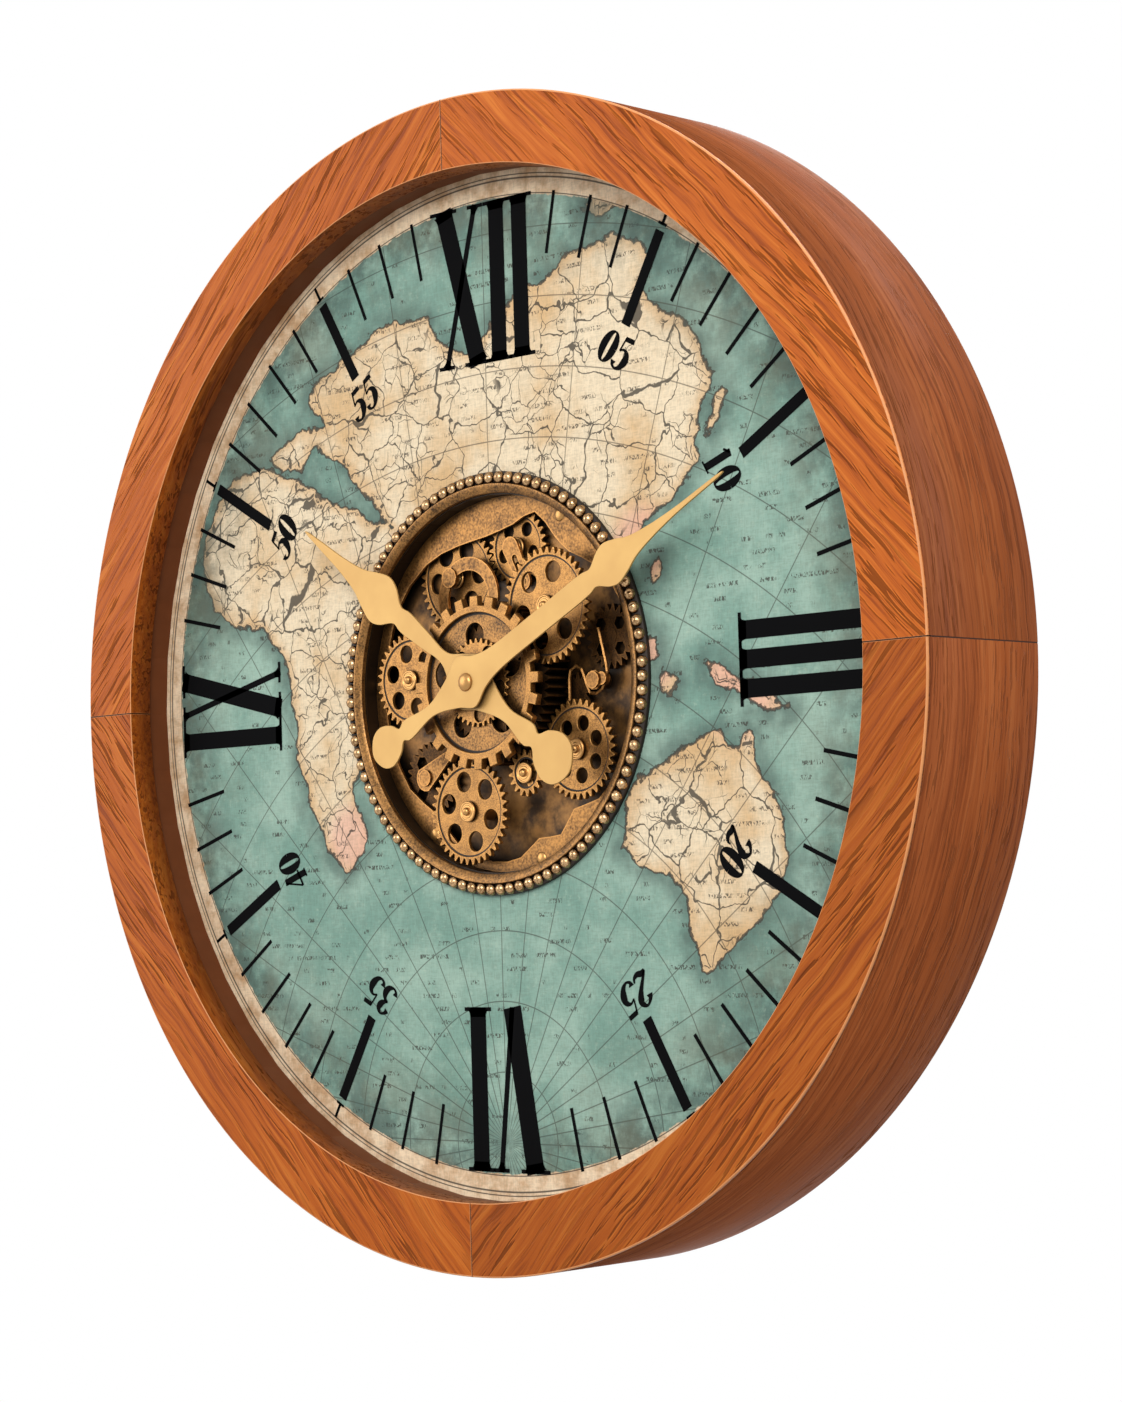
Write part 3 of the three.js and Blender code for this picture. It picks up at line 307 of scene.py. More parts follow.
bronze = metal("bronze", lin(80, 52, 22), lin(170, 122, 64), 0.36, 0.78, 170.0, 0.42)
plate_bronze = metal("plate_bronze", lin(66, 42, 18), lin(160, 113, 59), 0.36, 0.78, 90.0, 0.45, 0.9)
web_bronze = metal("web_bronze", lin(50, 32, 14), lin(164, 117, 63), 0.4, 0.75, 110.0, 0.45)
# Bronze made darker to paint the shade that the deepest parts of the train sit in.
dark_bronze = metal("dark_bronze", lin(26, 16, 7), lin(104, 70, 34), 0.5)
bead_bronze = metal("bead_bronze", lin(112, 78, 44), lin(226, 188, 140), 0.22, 0.95)
pin_brass = plain("pin_brass", lin(184, 138, 82), 0.33, 0.88)
# Near black, put in grooves, gaps and recesses as painted shade.
shade_paint = plain("shade_paint", lin(34, 22, 11), 0.6, 0.3)
gold = hand_gold()
steel = plain("steel", lin(190, 190, 186), 0.35, 0.9)
black = plain("black_plastic", lin(24, 24, 26), 0.55)
ink = plain("ink", lin(7, 7, 8), 0.9, 0.0, 0.06)
board = fibre_board()
sleeve = plain("cell_sleeve", lin(60, 92, 70), 0.45)
liner = plain("liner_wood", lin(104, 54, 24), 0.5, 0.0, 0.25)


# Geometry helpers


def add(name, data):
    """A new object in the scene."""
    item = bpy.data.objects.new(name, data)
    bpy.context.scene.collection.objects.link(item)
    return item


def link(mesh, material, body, nodes=()):
    """A piece with its mesh's name that rides on a body and may stand in for CAD nodes."""
    item = add(mesh.name, mesh)
    mesh.materials.clear()
    mesh.materials.append(material)
    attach(item, body)
    if nodes:
        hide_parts(*nodes)
    return item


def mesh_of(name, verts, faces, solid=True):
    """A mesh from points in millimetres. A solid's faces are turned outwards; a sheet's stay as given."""
    mesh = bpy.data.meshes.new(name)
    mesh.from_pydata([[c * MM for c in point] for point in verts], [], faces)
    if solid:
        work = bmesh.new()
        work.from_mesh(mesh)
        bmesh.ops.recalc_face_normals(work, faces=work.faces)
        work.to_mesh(mesh)
        work.free()
    mesh.update()
    return mesh


def sharpen(item, width, segments, angle=30):
    """Rounded edges, with smooth shading kept off the flats."""
    edge = item.modifiers.new("edge", "BEVEL")
    edge.width = width * MM
    edge.segments = segments
    edge.limit_method = "ANGLE"
    edge.angle_limit = radians(angle)
    edge.harden_normals = True
    item.data.shade_smooth()
    return edge


def flat_mesh(name, loops, back, thickness, bevel):
    """A plate from closed outlines in x and z, the first one outside and the others holes."""
    curve = bpy.data.curves.new(name, "CURVE")
    curve.dimensions = "2D"
    curve.fill_mode = "BOTH"
    curve.extrude = max(thickness / 2 - bevel, 0.01) * MM
    curve.bevel_depth = bevel * MM
    curve.bevel_resolution = 1
    curve.offset = -bevel * MM
    for loop in loops:
        spline = curve.splines.new("POLY")
        spline.points.add(len(loop) - 1)
        for point, (x, z) in zip(spline.points, loop):
            point.co = (x * MM, z * MM, 0, 1)
        spline.use_cyclic_u = True
    item = add(name, curve)
    graph = bpy.context.evaluated_depsgraph_get()
    mesh = bpy.data.meshes.new_from_object(item.evaluated_get(graph))
    mesh.name = name
    bpy.data.objects.remove(item)
    bpy.data.curves.remove(curve)
    middle = Matrix.Translation((0, (back - thickness / 2) * MM, 0))
    mesh.transform(middle @ Matrix.Rotation(math.pi / 2, 4, "X"))
    return mesh


def polar(radius, degrees, centre=(0, 0)):
    turn = radians(degrees)
    return centre[0] + radius * cos(turn), centre[1] + radius * sin(turn)


def circle(radius, centre=(0, 0), steps=28):
    return [polar(radius, 360 * i / steps, centre) for i in range(steps)]


def rotated(x, z, turn):
    return x * cos(turn) - z * sin(turn), x * sin(turn) + z * cos(turn)


def ring_faces(rings, count, first=0):
    """Quads between closed rings of points that follow one another."""
    faces = []
    for a in range(first, first + (rings - 1) * count, count):
        for k in range(count):
            m = (k + 1) % count
            faces.append((a + k, a + count + k, a + count + m, a + m))
    return faces


def turned_mesh(name, profile, steps, centre=(0, 0)):
    """A body turned about a line along Y from pairs of radius and y, closed on itself or on the axis."""
    verts = [(x, y, z) for radius, y in profile for x, z in circle(radius, centre, steps)]
    return mesh_of(name, verts, ring_faces(len(profile), steps))


# Case

QUARTERS = ("top_right", "top_left", "bottom_left", "bottom_right")
QUARTER_STEPS = 64
SEAM_HALF = 0.3
EDGE_EASE = 0.9
END_EASE_SHARE = 0.14
MITRE_LIP = 1.6
MITRE_GAP = 0.3
MITRE_OVERLAP = 0.2
FACE_SECTION = [(FACE_IN, FACE_BACK), (FACE_IN, FRONT_Y), (CASE_R, FRONT_Y), (CASE_R, FRONT_Y + MITRE_LIP),
                (SIDE_IN - MITRE_GAP, FACE_BACK)]
SIDE_SECTION = [(SIDE_IN, 0), (SIDE_IN, FACE_BACK - MITRE_OVERLAP),
                (CASE_R, FRONT_Y + MITRE_LIP + MITRE_GAP), (CASE_R, 0)]

# How much of the ease each corner of a section gets
FACE_EASED = (0, 0.45, 1, 0, 0)
SIDE_EASED = (0.3, 0, 0, 0.6)

# Stain, from the darkest tone to the lightest, and the share of it in each quarter, which paints light and
# shade: lighter where the lamps fall, darker away from them
FACE_STAIN = (lin(146, 65, 14), lin(187, 93, 24), lin(206, 114, 38))
SIDE_STAIN = (lin(140, 70, 32), lin(166, 88, 43), lin(180, 102, 54))
FACE_LIGHT_SHARES = (0.93, 0.87, 0.83, 0.69)
SIDE_LIGHT_SHARES = (0.63, 1.0, 1.0, 0.79)
# The bore is a darker copy of the face: painted shade inside the ring.
BORE_SHADE_SHARE = 0.8

# Where each quarter's wood starts in the noise
FACE_SEEDS = (6.31, 7.08, 7.85, 8.62)
BORE_SEEDS = (4.31, 5.08, 5.85, 6.62)
SIDE_SEEDS = (2.13, 2.72, 3.31, 3.9)


def quarter_board(name, section, eased, quarter, paints, node, grain_of):
    """One quarter of a ring, drawn back from its seams, with paints for its body, bore and edges."""
    verts, grain = [], []
    count = len(section)
    for i in range(QUARTER_STEPS + 1):
        for radius, y in section:
            trim = math.degrees(SEAM_HALF / radius)
            turn = radians(quarter * 90 + trim + (90 - 2 * trim) * i / QUARTER_STEPS)
            verts.append((radius * cos(turn), y, radius * sin(turn)))
            grain.append(grain_of(radius, turn, y))
    faces = ring_faces(QUARTER_STEPS + 1, count)
    faces.append(tuple(range(count)))
    faces.append(tuple(QUARTER_STEPS * count + k for k in range(count)))
    mesh = mesh_of(name, verts, faces)
    layer = mesh.attributes.new("grain", "FLOAT_VECTOR", "POINT")
    layer.data.foreach_set("vector", np.array(grain, np.float32).ravel() * MM)
    weights = mesh.attributes.new("bevel_weight_edge", "FLOAT", "EDGE")
    for edge in mesh.edges:
        a, b = edge.vertices
        if a % count == b % count:
            weights.data[edge.index].value = eased[a % count]
        elif a // count == b // count and a // count in (0, QUARTER_STEPS):
            weights.data[edge.index].value = END_EASE_SHARE
    item = link(mesh, paints[0], "case", [node])
    for paint in paints[1:]:
        mesh.materials.append(paint)
    # The bore takes the second paint; on the face boards it is a copy with painted shade.
    for i in range(QUARTER_STEPS):
        mesh.polygons[i * count].material_index = 1
    ease = sharpen(item, EDGE_EASE, 3)
    ease.limit_method = "WEIGHT"
    # The eased edges take the third paint, on the face boards a painted edge highlight and wear.
    ease.material = 2


def chord_grain(quarter):
    """Straight grain along a quarter's chord."""
    chord = radians(quarter * 90 + 135)

    def grain(radius, turn, y):
        return *rotated(radius * cos(turn), radius * sin(turn), -chord), y

    return grain


def band_grain(radius, turn, y):
    """Grain bent round the case."""
    return radius * turn, y, radius


def build_case():
    # Paler wood for the eased edges of the face boards: partly wear, partly a painted highlight along the
    # edges.
    edge_highlight_and_wear = plain("edge_highlight_and_wear", lin(216, 144, 88), 0.4, 0.0, 0.3)
    for quarter, name in enumerate(QUARTERS):
        lit_face_tones = [shade(tone, FACE_LIGHT_SHARES[quarter]) for tone in FACE_STAIN]
        shaded_bore_tones = [shade(tone, FACE_LIGHT_SHARES[quarter] * BORE_SHADE_SHARE) for tone in FACE_STAIN]
        lit_side_tones = [shade(tone, SIDE_LIGHT_SHARES[quarter]) for tone in SIDE_STAIN]
        face = wood("face_oak_" + name, lit_face_tones, FACE_SEEDS[quarter])
        bore = wood("shaded_bore_oak_" + name, shaded_bore_tones, BORE_SEEDS[quarter])
        side = wood("side_oak_" + name, lit_side_tones, SIDE_SEEDS[quarter], 0.46, (44, 640), 0.5)
        quarter_board("face_" + name, FACE_SECTION, FACE_EASED, quarter, (face, bore, edge_highlight_and_wear),
                      "face_segment_" + name, chord_grain(quarter))
        quarter_board("side_" + name, SIDE_SECTION, SIDE_EASED, quarter, (side, side, side),
                      "side_segment_" + name, band_grain)


GLUE_HALF = 0.4
GLUE_SET_BACK = 0.5


def glue_lines():
    """Thin dark fillings in the four joints of the boards."""
    verts, faces = [], []
    for quarter in range(len(QUARTERS)):
        turn = quarter * TAU / len(QUARTERS)
        for section in (FACE_SECTION, SIDE_SECTION):
            corners = np.array(section, float)
            middle = corners.mean(axis=0)
            first, count = len(verts), len(section)
            for side in (-GLUE_HALF, GLUE_HALF):
                for corner in corners:
                    inward = (middle - corner) / np.hypot(*(middle - corner))
                    radius, y = corner + inward * GLUE_SET_BACK
                    x, z = rotated(radius, side, turn)
                    verts.append((x, y, z))
            faces.append(tuple(first + k for k in range(count)))
            faces.append(tuple(first + count + k for k in range(count)))
            faces += ring_faces(2, count, first)
    glue = plain("glue_line", lin(52, 24, 9), 0.6, 0.0, 0.2)
    link(mesh_of("glue_lines", verts, faces), glue, "case")


build_case()
glue_lines()


# Dial print. The coasts are in millimetres, as the dial is seen from the front.

COASTS = (
    ((-102, 186), (-83, 193), (-67, 196), (-44, 194), (-37, 181), (-11, 173), (18, 196), (28, 203),
     (44, 205), (55, 210), (76, 215), (90, 220), (110, 212), (120, 198), (109, 189), (117, 181), (136, 169),
     (147, 155), (154, 138), (150, 127), (139, 109), (145, 100), (137, 92), (126, 81), (115, 77), (104, 68),
     (92, 62), (60, 60), (0, 70), (-60, 80), (-83, 95), (-97, 111), (-110, 123), (-121, 132), (-136, 137),
     (-146, 128), (-164, 127), (-171, 137), (-158, 142), (-145, 149), (-125, 149), (-137, 162), (-130, 172),
     (-116, 177)),
    ((-178, 131), (-201, 128), (-212, 118), (-223, 102), (-230, 86), (-227, 68), (-221, 56), (-204, 47),
     (-181, 42), (-166, 30), (-159, 13), (-155, -10), (-152, -32), (-145, -54), (-133, -76), (-118, -94),
     (-106, -88), (-101, -72), (-106, -61), (-111, -50), (-95, -30), (-80, 0), (-70, 40), (-60, 80),
     (-83, 92), (-89, 93), (-106, 102), (-129, 109), (-154, 124)),
    ((90, -64), (99, -54), (113, -48), (133, -41), (143, -35), (153, -33), (157, -42), (164, -46),
     (170, -36), (174, -48), (182, -61), (191, -78), (193, -97), (183, -115), (164, -131), (147, -146),
     (138, -148), (130, -133), (129, -116), (118, -98), (97, -95), (88, -88)),
    ((144, 1), (163, -7), (182, -11), (196, -26), (184, -26), (166, -17), (150, -11)),
    ((106, 19), (112, 14), (116, 6), (109, 1), (104, 9)),
    ((116, 1), (125, -7), (122, -15), (114, -11)),
    ((150, 108), (158, 118), (162, 130), (157, 129), (150, 116)),
    ((112, 40), (118, 46), (117, 55), (110, 49)),
    ((70, 236), (84, 229), (98, 235), (88, 245)),
)


def inland_distance(points):
    """Distance to the nearest coast in millimetres, positive on land."""
    best = np.full(len(points), 1e9)
    inside = np.zeros(len(points), bool)
    for ring in COASTS:
        ring = np.array(ring, float)
        for a, b in zip(ring, np.roll(ring, -1, 0)):
            along = b - a
            share = np.clip(((points - a) @ along) / (along @ along), 0, 1)
            best = np.minimum(best, np.hypot(*(points - a - share[:, None] * along).T))
            cross = (a[1] > points[:, 1]) != (b[1] > points[:, 1])
            rise = along[1] if abs(along[1]) > 1e-9 else 1e-9
            inside ^= cross & (points[:, 0] < a[0] + (points[:, 1] - a[1]) * along[0] / rise)
    return np.where(inside, best, -best)


# Middles and sizes of the rosy regions, and the net of map lines, in metres and radians
ROSY = ((0.105, 0.062, 0.026), (-0.112, -0.076, 0.024), (0.165, -0.012, 0.034), (0.112, 0.005, 0.02))
FAN_DROP = 0.235
LINE_HALF = 0.00045
MERIDIAN_STEP = 0.157
PARALLEL_STEP = 0.036
TEXT_ROW = 0.0068

# The print's border: where its paper starts, and the middle and half width of its fine rings, in metres
BAND_START = 0.2505
BAND_RINGS = ((0.2516, 0.0004), (0.2598, 0.0006), (0.2618, 0.0004))


def ragged_coast(p, place, fine):
    """The distance inland with bays and capes."""
    land = p.node("Attribute", attribute_name="inland").outputs["Fac"]
    big = p.noise(place, 38.0, 3.0, 0.6)
    coast = p.math("MULTIPLY_ADD", p.less(big, 0.5), 16.0, land)
    return p.math("MULTIPLY_ADD", p.less(fine, 0.5), 7.0, coast)


def map_sea(p, place, coast, grit):
    """Mottled teal, darker along the coasts."""
    cloud = p.noise(place, 22.0, 5.0, 0.62)
    sea = p.mix(p.step(cloud, 0.35, 0.68), lin(112, 148, 134), lin(150, 178, 162))
    sea = p.mix(p.times(p.step(grit, 0.55, 0.75), 0.35), sea, lin(168, 186, 166))
    patches = p.step(p.noise(place, 70.0, 3.0), 0.3, 0.6, 0.45, 1.0)
    shore = p.times(p.step(coast, -16.0, 0.5), patches)
    return p.mix(p.times(shore, 0.78), sea, lin(66, 88, 80))


def map_land(p, place, x, z, coast, grit):
    """Cream paper with ochre stains and a few rosy regions."""
    stain = p.noise(place, 17.0, 4.0, 0.6)
    ground = p.mix(p.step(stain, 0.42, 0.68), lin(228, 209, 177), lin(208, 172, 124))
    ground = p.mix(p.step(coast, 9.0, 0.0, 0.0, 0.7), ground, lin(206, 166, 116))
    ground = p.mix(p.times(p.step(grit, 0.5, 0.72), 0.3), ground, lin(196, 168, 130))
    for middle_x, middle_z, size in ROSY:
        away = p.reach(p.less(x, middle_x), p.less(z, middle_z))
        ground = p.mix(p.times(p.step(away, size, size * 0.4), 0.6), ground, lin(226, 168, 150))
    return ground


def map_net(p, x, z):
    """Meridians that fan out from a point low on the dial, and circles round that point."""
    up = p.math("ADD", z, FAN_DROP)
    away = p.reach(x, up)

    def off_middle(value, spacing):
        share = p.math("FRACT", p.math("DIVIDE", value, spacing))
        return p.math("ABSOLUTE", p.less(share, 0.5))

    angle_half = p.math("DIVIDE", LINE_HALF, p.most(away, 0.02))
    half = p.math("DIVIDE", angle_half, MERIDIAN_STEP)
    meridians = p.step(off_middle(p.math("ARCTAN2", x, up), MERIDIAN_STEP),
                       p.less(0.5, half), p.less(0.5, p.times(half, 0.4)))
    half = LINE_HALF / PARALLEL_STEP
    parallels = p.step(off_middle(away, PARALLEL_STEP), 0.5 - half, 0.5 - half * 0.4)
    return p.times(p.most(meridians, parallels), 0.75)


def map_marks(p, x, z, coast):
    """Rows of small marks in the place of lettering, which can't be read."""
    row = p.math("DIVIDE", z, TEXT_ROW)
    row_seed = p.times(p.math("FLOOR", row), 7.31)
    height = p.math("FRACT", row)
    cap = p.times(p.step(height, 0.26, 0.32), p.step(height, 0.66, 0.58))
    at_word = p.node("CombineXYZ", {"X": p.times(x, 62.0), "Y": row_seed})
    word = p.step(p.noise(at_word.outputs[0], 1.0, 1.0), p.step(coast, -2.0, 2.0, 0.57, 0.5), 0.6)
    at_letter = p.node("CombineXYZ", {
        "X": p.times(x, 1150.0), "Y": row_seed, "Z": p.times(height, 4.2)})
    letters = p.step(p.noise(at_letter.outputs[0], 1.0, 1.0, 0.5, 0.6), 0.5, 0.56)
    return p.times(p.times(letters, cap), word)


def map_ink(p, place, x, z, coast):
    """Coast line, region borders and rivers on land, the net of map lines and the small marks."""
    shoreline = p.step(p.math("ABSOLUTE", coast), 0.95, 0.55)
    drift = p.node("TexNoise", {"Vector": place, "Scale": 60.0, "Detail": 3.0}).outputs[1]
    bent = p.vector("ADD", place, p.vector("MULTIPLY", drift, (0.02, 0.0, 0.02)))
    borders = p.times(p.step(p.cell_edges(bent, 34.0), 0.015, 0.009), p.step(coast, 1.0, 2.0))
    wet = p.step(p.noise(place, 45.0, 1.0), 0.46, 0.56)
    rivers = p.times(p.step(p.cell_edges(bent, 90.0), 0.024, 0.014), wet)
    rivers = p.times(rivers, p.step(coast, 1.0, 3.0))
    drawn = p.most(p.most(shoreline, borders), p.most(rivers, map_net(p, x, z)))
    return p.most(drawn, p.times(map_marks(p, x, z, coast), 0.95))


def dial_paint():
    """An old map with a dark mottled edge and a stained border, on linen."""
    p = Paint("map_print")
    place = p.place()
    x, _, z = p.split(place)
    radius = p.reach(x, z)
    fine = p.noise(place, 190.0, 4.0, 0.6)
    grit = p.noise(place, 420.0, 3.0, 0.6)
    coast = ragged_coast(p, place, fine)
    dry = p.step(coast, -0.15, 0.15)
    colour = p.mix(dry, map_sea(p, place, coast, grit), map_land(p, place, x, z, coast, grit))
    colour = p.mix(p.times(map_ink(p, place, x, z, coast), 0.88), colour, lin(40, 32, 24))
    # Mottled darkening towards the rim, first teal and then brown.
    dark_towards_rim = p.times(p.step(radius, 0.206, 0.25), p.step(p.noise(place, 48.0, 5.0, 0.68), 0.36, 0.6))
    colour = p.mix(p.times(dark_towards_rim, 0.72), colour, lin(58, 78, 72))
    brown_towards_rim = p.times(p.step(radius, 0.18, 0.262), p.step(p.noise(place, 30.0, 5.0, 0.65), 0.42, 0.66))
    colour = p.mix(p.times(brown_towards_rim, 0.55), colour, lin(88, 78, 56))
    worn = p.noise(place, 55.0, 4.0, 0.7)
    band = p.mix(p.step(worn, 0.35, 0.7), lin(242, 218, 184), lin(192, 152, 110))
    ragged = p.math("MULTIPLY_ADD", p.less(fine, 0.5), 0.004, radius)
    colour = p.mix(p.step(ragged, BAND_START, BAND_START + 0.001), colour, band)
    for at, half in BAND_RINGS:
        ring = p.step(p.math("ABSOLUTE", p.less(radius, at)), half, half * 0.5)
        colour = p.mix(p.times(ring, 0.85), colour, lin(30, 26, 22))
    threads = p.stretched(place, (240, 240, 1500), 2.0, 0.6)
    crossing = p.stretched(place, (1500, 240, 240), 2.0, 0.6)
    weave = p.step(p.math("ADD", threads, crossing), 0.8, 1.3, -1.0, 1.0)
    colour = p.mix(p.math("MULTIPLY_ADD", weave, 0.11, 0.11), colour, lin(74, 78, 66))
    return p.surface(colour, 0.82)


# The map runs from under the bezel to under the liner ring.
MAP_IN = WELL_R + 2.9
MAP_OUT = FACE_IN + 8.0
MAP_RINGS = 68
MAP_STEPS = 360
MAP_LIFT = 0.12


def build_dial():
    radii = np.linspace(MAP_IN, MAP_OUT, MAP_RINGS)
    turns = np.arange(MAP_STEPS) * TAU / MAP_STEPS
    x = np.outer(radii, np.cos(turns)).ravel()
    z = np.outer(radii, np.sin(turns)).ravel()
    verts = np.stack([x, np.full_like(x, DIAL_Y - MAP_LIFT), z], 1)
    mesh = mesh_of("dial_map", verts, ring_faces(MAP_RINGS, MAP_STEPS), solid=False)
    layer = mesh.attributes.new("inland", "FLOAT", "POINT")
    layer.data.foreach_set("value", inland_distance(np.stack([x, z], 1)).astype(np.float32))
    link(mesh, dial_paint(), "case")


build_dial()


# Figures and ticks: flat strokes, drawn upright and then turned so that their tops point outwards

FIGURE_LIFT = 0.3
figure_verts, figure_faces = [], []


def stroke(points, degrees, foot=0.0):
    """A band of quads. Each point holds its place across, up from the foot, and the band's half width."""
    turn = radians(degrees)
    pts = np.array([(p[0], p[1]) for p in points], float)
    along = np.gradient(pts, axis=0)
    along /= np.maximum(np.hypot(along[:, 0], along[:, 1]), 1e-9)[:, None]
    side = np.stack([-along[:, 1], along[:, 0]], 1)
    first = len(figure_verts)
    for i, point in enumerate(points):
        for sign in (1, -1):
            u, v = pts[i] + sign * point[2] * side[i]
            x, z = rotated(u, v + foot, -turn)
            figure_verts.append((x, DIAL_Y - FIGURE_LIFT, z))
    for i in range(len(points) - 1):
        a = first + 2 * i
        figure_faces.append((a, a + 1, a + 3, a + 2))


def bar(a, b, half):
    return [(*a, half), (*b, half)]


CURVE_STEPS = 6


def smooth_path(points):
    """Points with widths, joined by a smooth curve."""
    pts = [points[0]] + list(points) + [points[-1]]
    out = []
    for i in range(1, len(pts) - 2):
        p0, p1, p2, p3 = (np.array(q, float) for q in pts[i - 1:i + 3])
        for s in range(CURVE_STEPS):
            t = s / CURVE_STEPS
            out.append(0.5 * (2 * p1 + (p2 - p0) * t + (2 * p0 - 5 * p1 + 4 * p2 - p3) * t * t
                              + (3 * p1 - p0 - 3 * p2 + p3) * t ** 3))
    out.append(np.array(points[-1], float))
    return out


ROMAN_HEIGHT = 84.0
ROMAN_FOOT = 166.0
ROMAN_WIDTH = {"I": 15.0, "V": 34.0, "X": 34.0}
LEG_INSET = 7.0
THICK = 4.3
THIN = 1.7
SERIF_HALF = 1.0
SERIF_REACH = 4.0
FLARE = 2.6
FLARE_TALL = 5
FLARE_HEIGHTS = (1.2, 2, 3, 4, 5)


def roman_legs(letter, left, right, thick, mirrored):
    """The strokes of one letter: their two ends and half width."""
    top, middle = ROMAN_HEIGHT, (left + right) / 2
    near, far = left + LEG_INSET, right - LEG_INSET
    if letter == "I":
        return [((middle, 0), (middle, top), thick)]
    if letter == "V":
        return [((near, top), (middle + 2, 0), thick * 1.1), ((far + 1, top), (middle + 2, 0), THIN)]
    if mirrored:
        near, far = far, near
    return [((near, top), (far, 0), thick * 1.1), ((far, top), (near, 0), THIN)]


def serif(end, other, half, degrees):
    """A flat serif with a flared bracket at one end of a stroke."""
    inward = 1 if end[1] == 0 else -1
    lean = (other[0] - end[0]) / abs(other[1] - end[1])
    reach = half + SERIF_REACH
    height = end[1] + inward * SERIF_HALF
    stroke(bar((end[0] - reach, height), (end[0] + reach, height), SERIF_HALF), degrees, ROMAN_FOOT)
    bracket = [(end[0] + lean * d, end[1] + inward * d, half + FLARE * (1 - d / FLARE_TALL) ** 2)
               for d in FLARE_HEIGHTS]
    stroke(bracket, degrees, ROMAN_FOOT)


def roman(letters, degrees, bold, spread, mirrored=False):
    """Tall figures with thick and thin strokes and bracketed flat serifs."""
    left = -sum(ROMAN_WIDTH[c] for c in letters) * spread / 2
    for c in letters:
        right = left + ROMAN_WIDTH[c] * spread
        for a, b, half in roman_legs(c, left, right, THICK * bold, mirrored):
            stroke(bar(a, b, half), degrees, ROMAN_FOOT)
            for end, other in ((a, b), (b, a)):
                if c == "V" and end[1] == 0:
                    continue
                serif(end, other, half, degrees)
        left = right


# Each digit's strokes, in hundredths of its height: across, up and half width
DIGITS = {
    "0": [[(28 + 20 * cos(t), 50 + 45.5 * sin(t), 2 + 8 * abs(cos(t)) ** 1.3)
           for t in np.linspace(0, TAU, 33)]],
    "1": [[(26, 2, 8.5), (26, 97, 8.5)], [(8, 80, 2.5), (25, 95, 3)],
          [(6, 2, 2.2), (46, 2, 2.2)]],
    "2": [[(11, 72, 9), (12, 85, 5), (28, 96, 3), (44, 84, 7),
           (46, 70, 9), (36, 48, 6), (18, 24, 4), (7, 8, 3)],
          [(6, 5, 3), (20, 10, 7), (36, 5, 6), (50, 10, 4), (53, 22, 2)]],
    "3": [[(10, 76, 8), (14, 88, 4), (28, 96, 3), (42, 86, 7),
           (43, 72, 8.5), (34, 58, 5), (22, 53, 2)],
          [(22, 53, 2), (38, 47, 5), (47, 30, 9), (42, 13, 7),
           (26, 4, 3), (12, 10, 4), (8, 22, 8)]],
    "4": [[(38, 2, 8), (38, 97, 8)], [(36, 95, 2.2), (4, 32, 2.2)],
          [(3, 31, 3), (56, 31, 3)], [(24, 2, 2.2), (52, 2, 2.2)]],
    "5": [[(13, 92, 5.5), (47, 94, 5.5)], [(14, 95, 2.2), (12, 54, 2.2)],
          [(12, 55, 2), (26, 62, 3), (42, 52, 7), (46, 33, 9.5),
           (38, 12, 6), (24, 4, 3), (10, 10, 4), (7, 22, 8)]],
}
DIGIT_UNIT = 18.0 / 100
DIGIT_FOOT = 175.5
DIGIT_WIDTH = 60
DIGIT_SLANT = 0.18
DIGIT_BOLD = 1.28


def arabic(text, degrees):
    """Small leaning digits."""
    left = -0.5 * len(text) * DIGIT_WIDTH
    for c in text:
        for path in DIGITS[c]:
            if c != "0" and len(path) > 2:
                path = smooth_path(path)
            points = []
            for u, v, half in path:
                across = left + u + DIGIT_SLANT * (v - 50)
                points.append((across * DIGIT_UNIT, v * DIGIT_UNIT, half * DIGIT_UNIT * DIGIT_BOLD))
            stroke(points, degrees, DIGIT_FOOT)
        left += DIGIT_WIDTH


# Ticks: from, to and half width
FIVE_TICK = ((0, 198), (0, 248), 3.1)
FIVE_STEM = ((0, 251), (0, 260), 0.9)
FIVE_CROSS = ((-3, 251.6), (3, 251.6), 0.7)
MINUTE_TICK = ((0, 221), (0, 253), 1.05)


def build_figures():
    for minute in range(60):
        degrees = minute * 6
        if minute % 15 in (0, 1, 14):
            continue
        if minute % 5 == 0:
            for tick in (FIVE_TICK, FIVE_STEM, FIVE_CROSS):
                stroke(bar(*tick), degrees)
            arabic("%02d" % minute, degrees)
        else:
            stroke(bar(*MINUTE_TICK), degrees)
    roman("XII", 0, 1.25, 1.1)
    roman("III", 90, 1.05, 0.94)
    roman("VI", 180, 1.32, 1.1)
    roman("IX", 270, 1.1, 1.0, mirrored=True)
    mesh = mesh_of("dial_figures", figure_verts, figure_faces, solid=False)
    link(mesh, ink, "case")


build_figures()


# Bezel with round beads

BEZEL_BACK = back_of("beaded_bezel")
BEZEL_TALL = 2.7
BEZEL_FRONT = BEZEL_BACK - BEZEL_TALL
BEAD_R = 3.2
BEAD_COUNT = 96
BEAD_AROUND = 16
BEAD_HIGH = 8
BEAD_SUNK = 0.2
BEAD_DEPTH = 0.4
BEAD_OVERLAP = 0.4
BEAD_SEAT = BEZEL_OUT - 2 * BEAD_R + BEAD_OVERLAP
TURNED_STEPS = 180


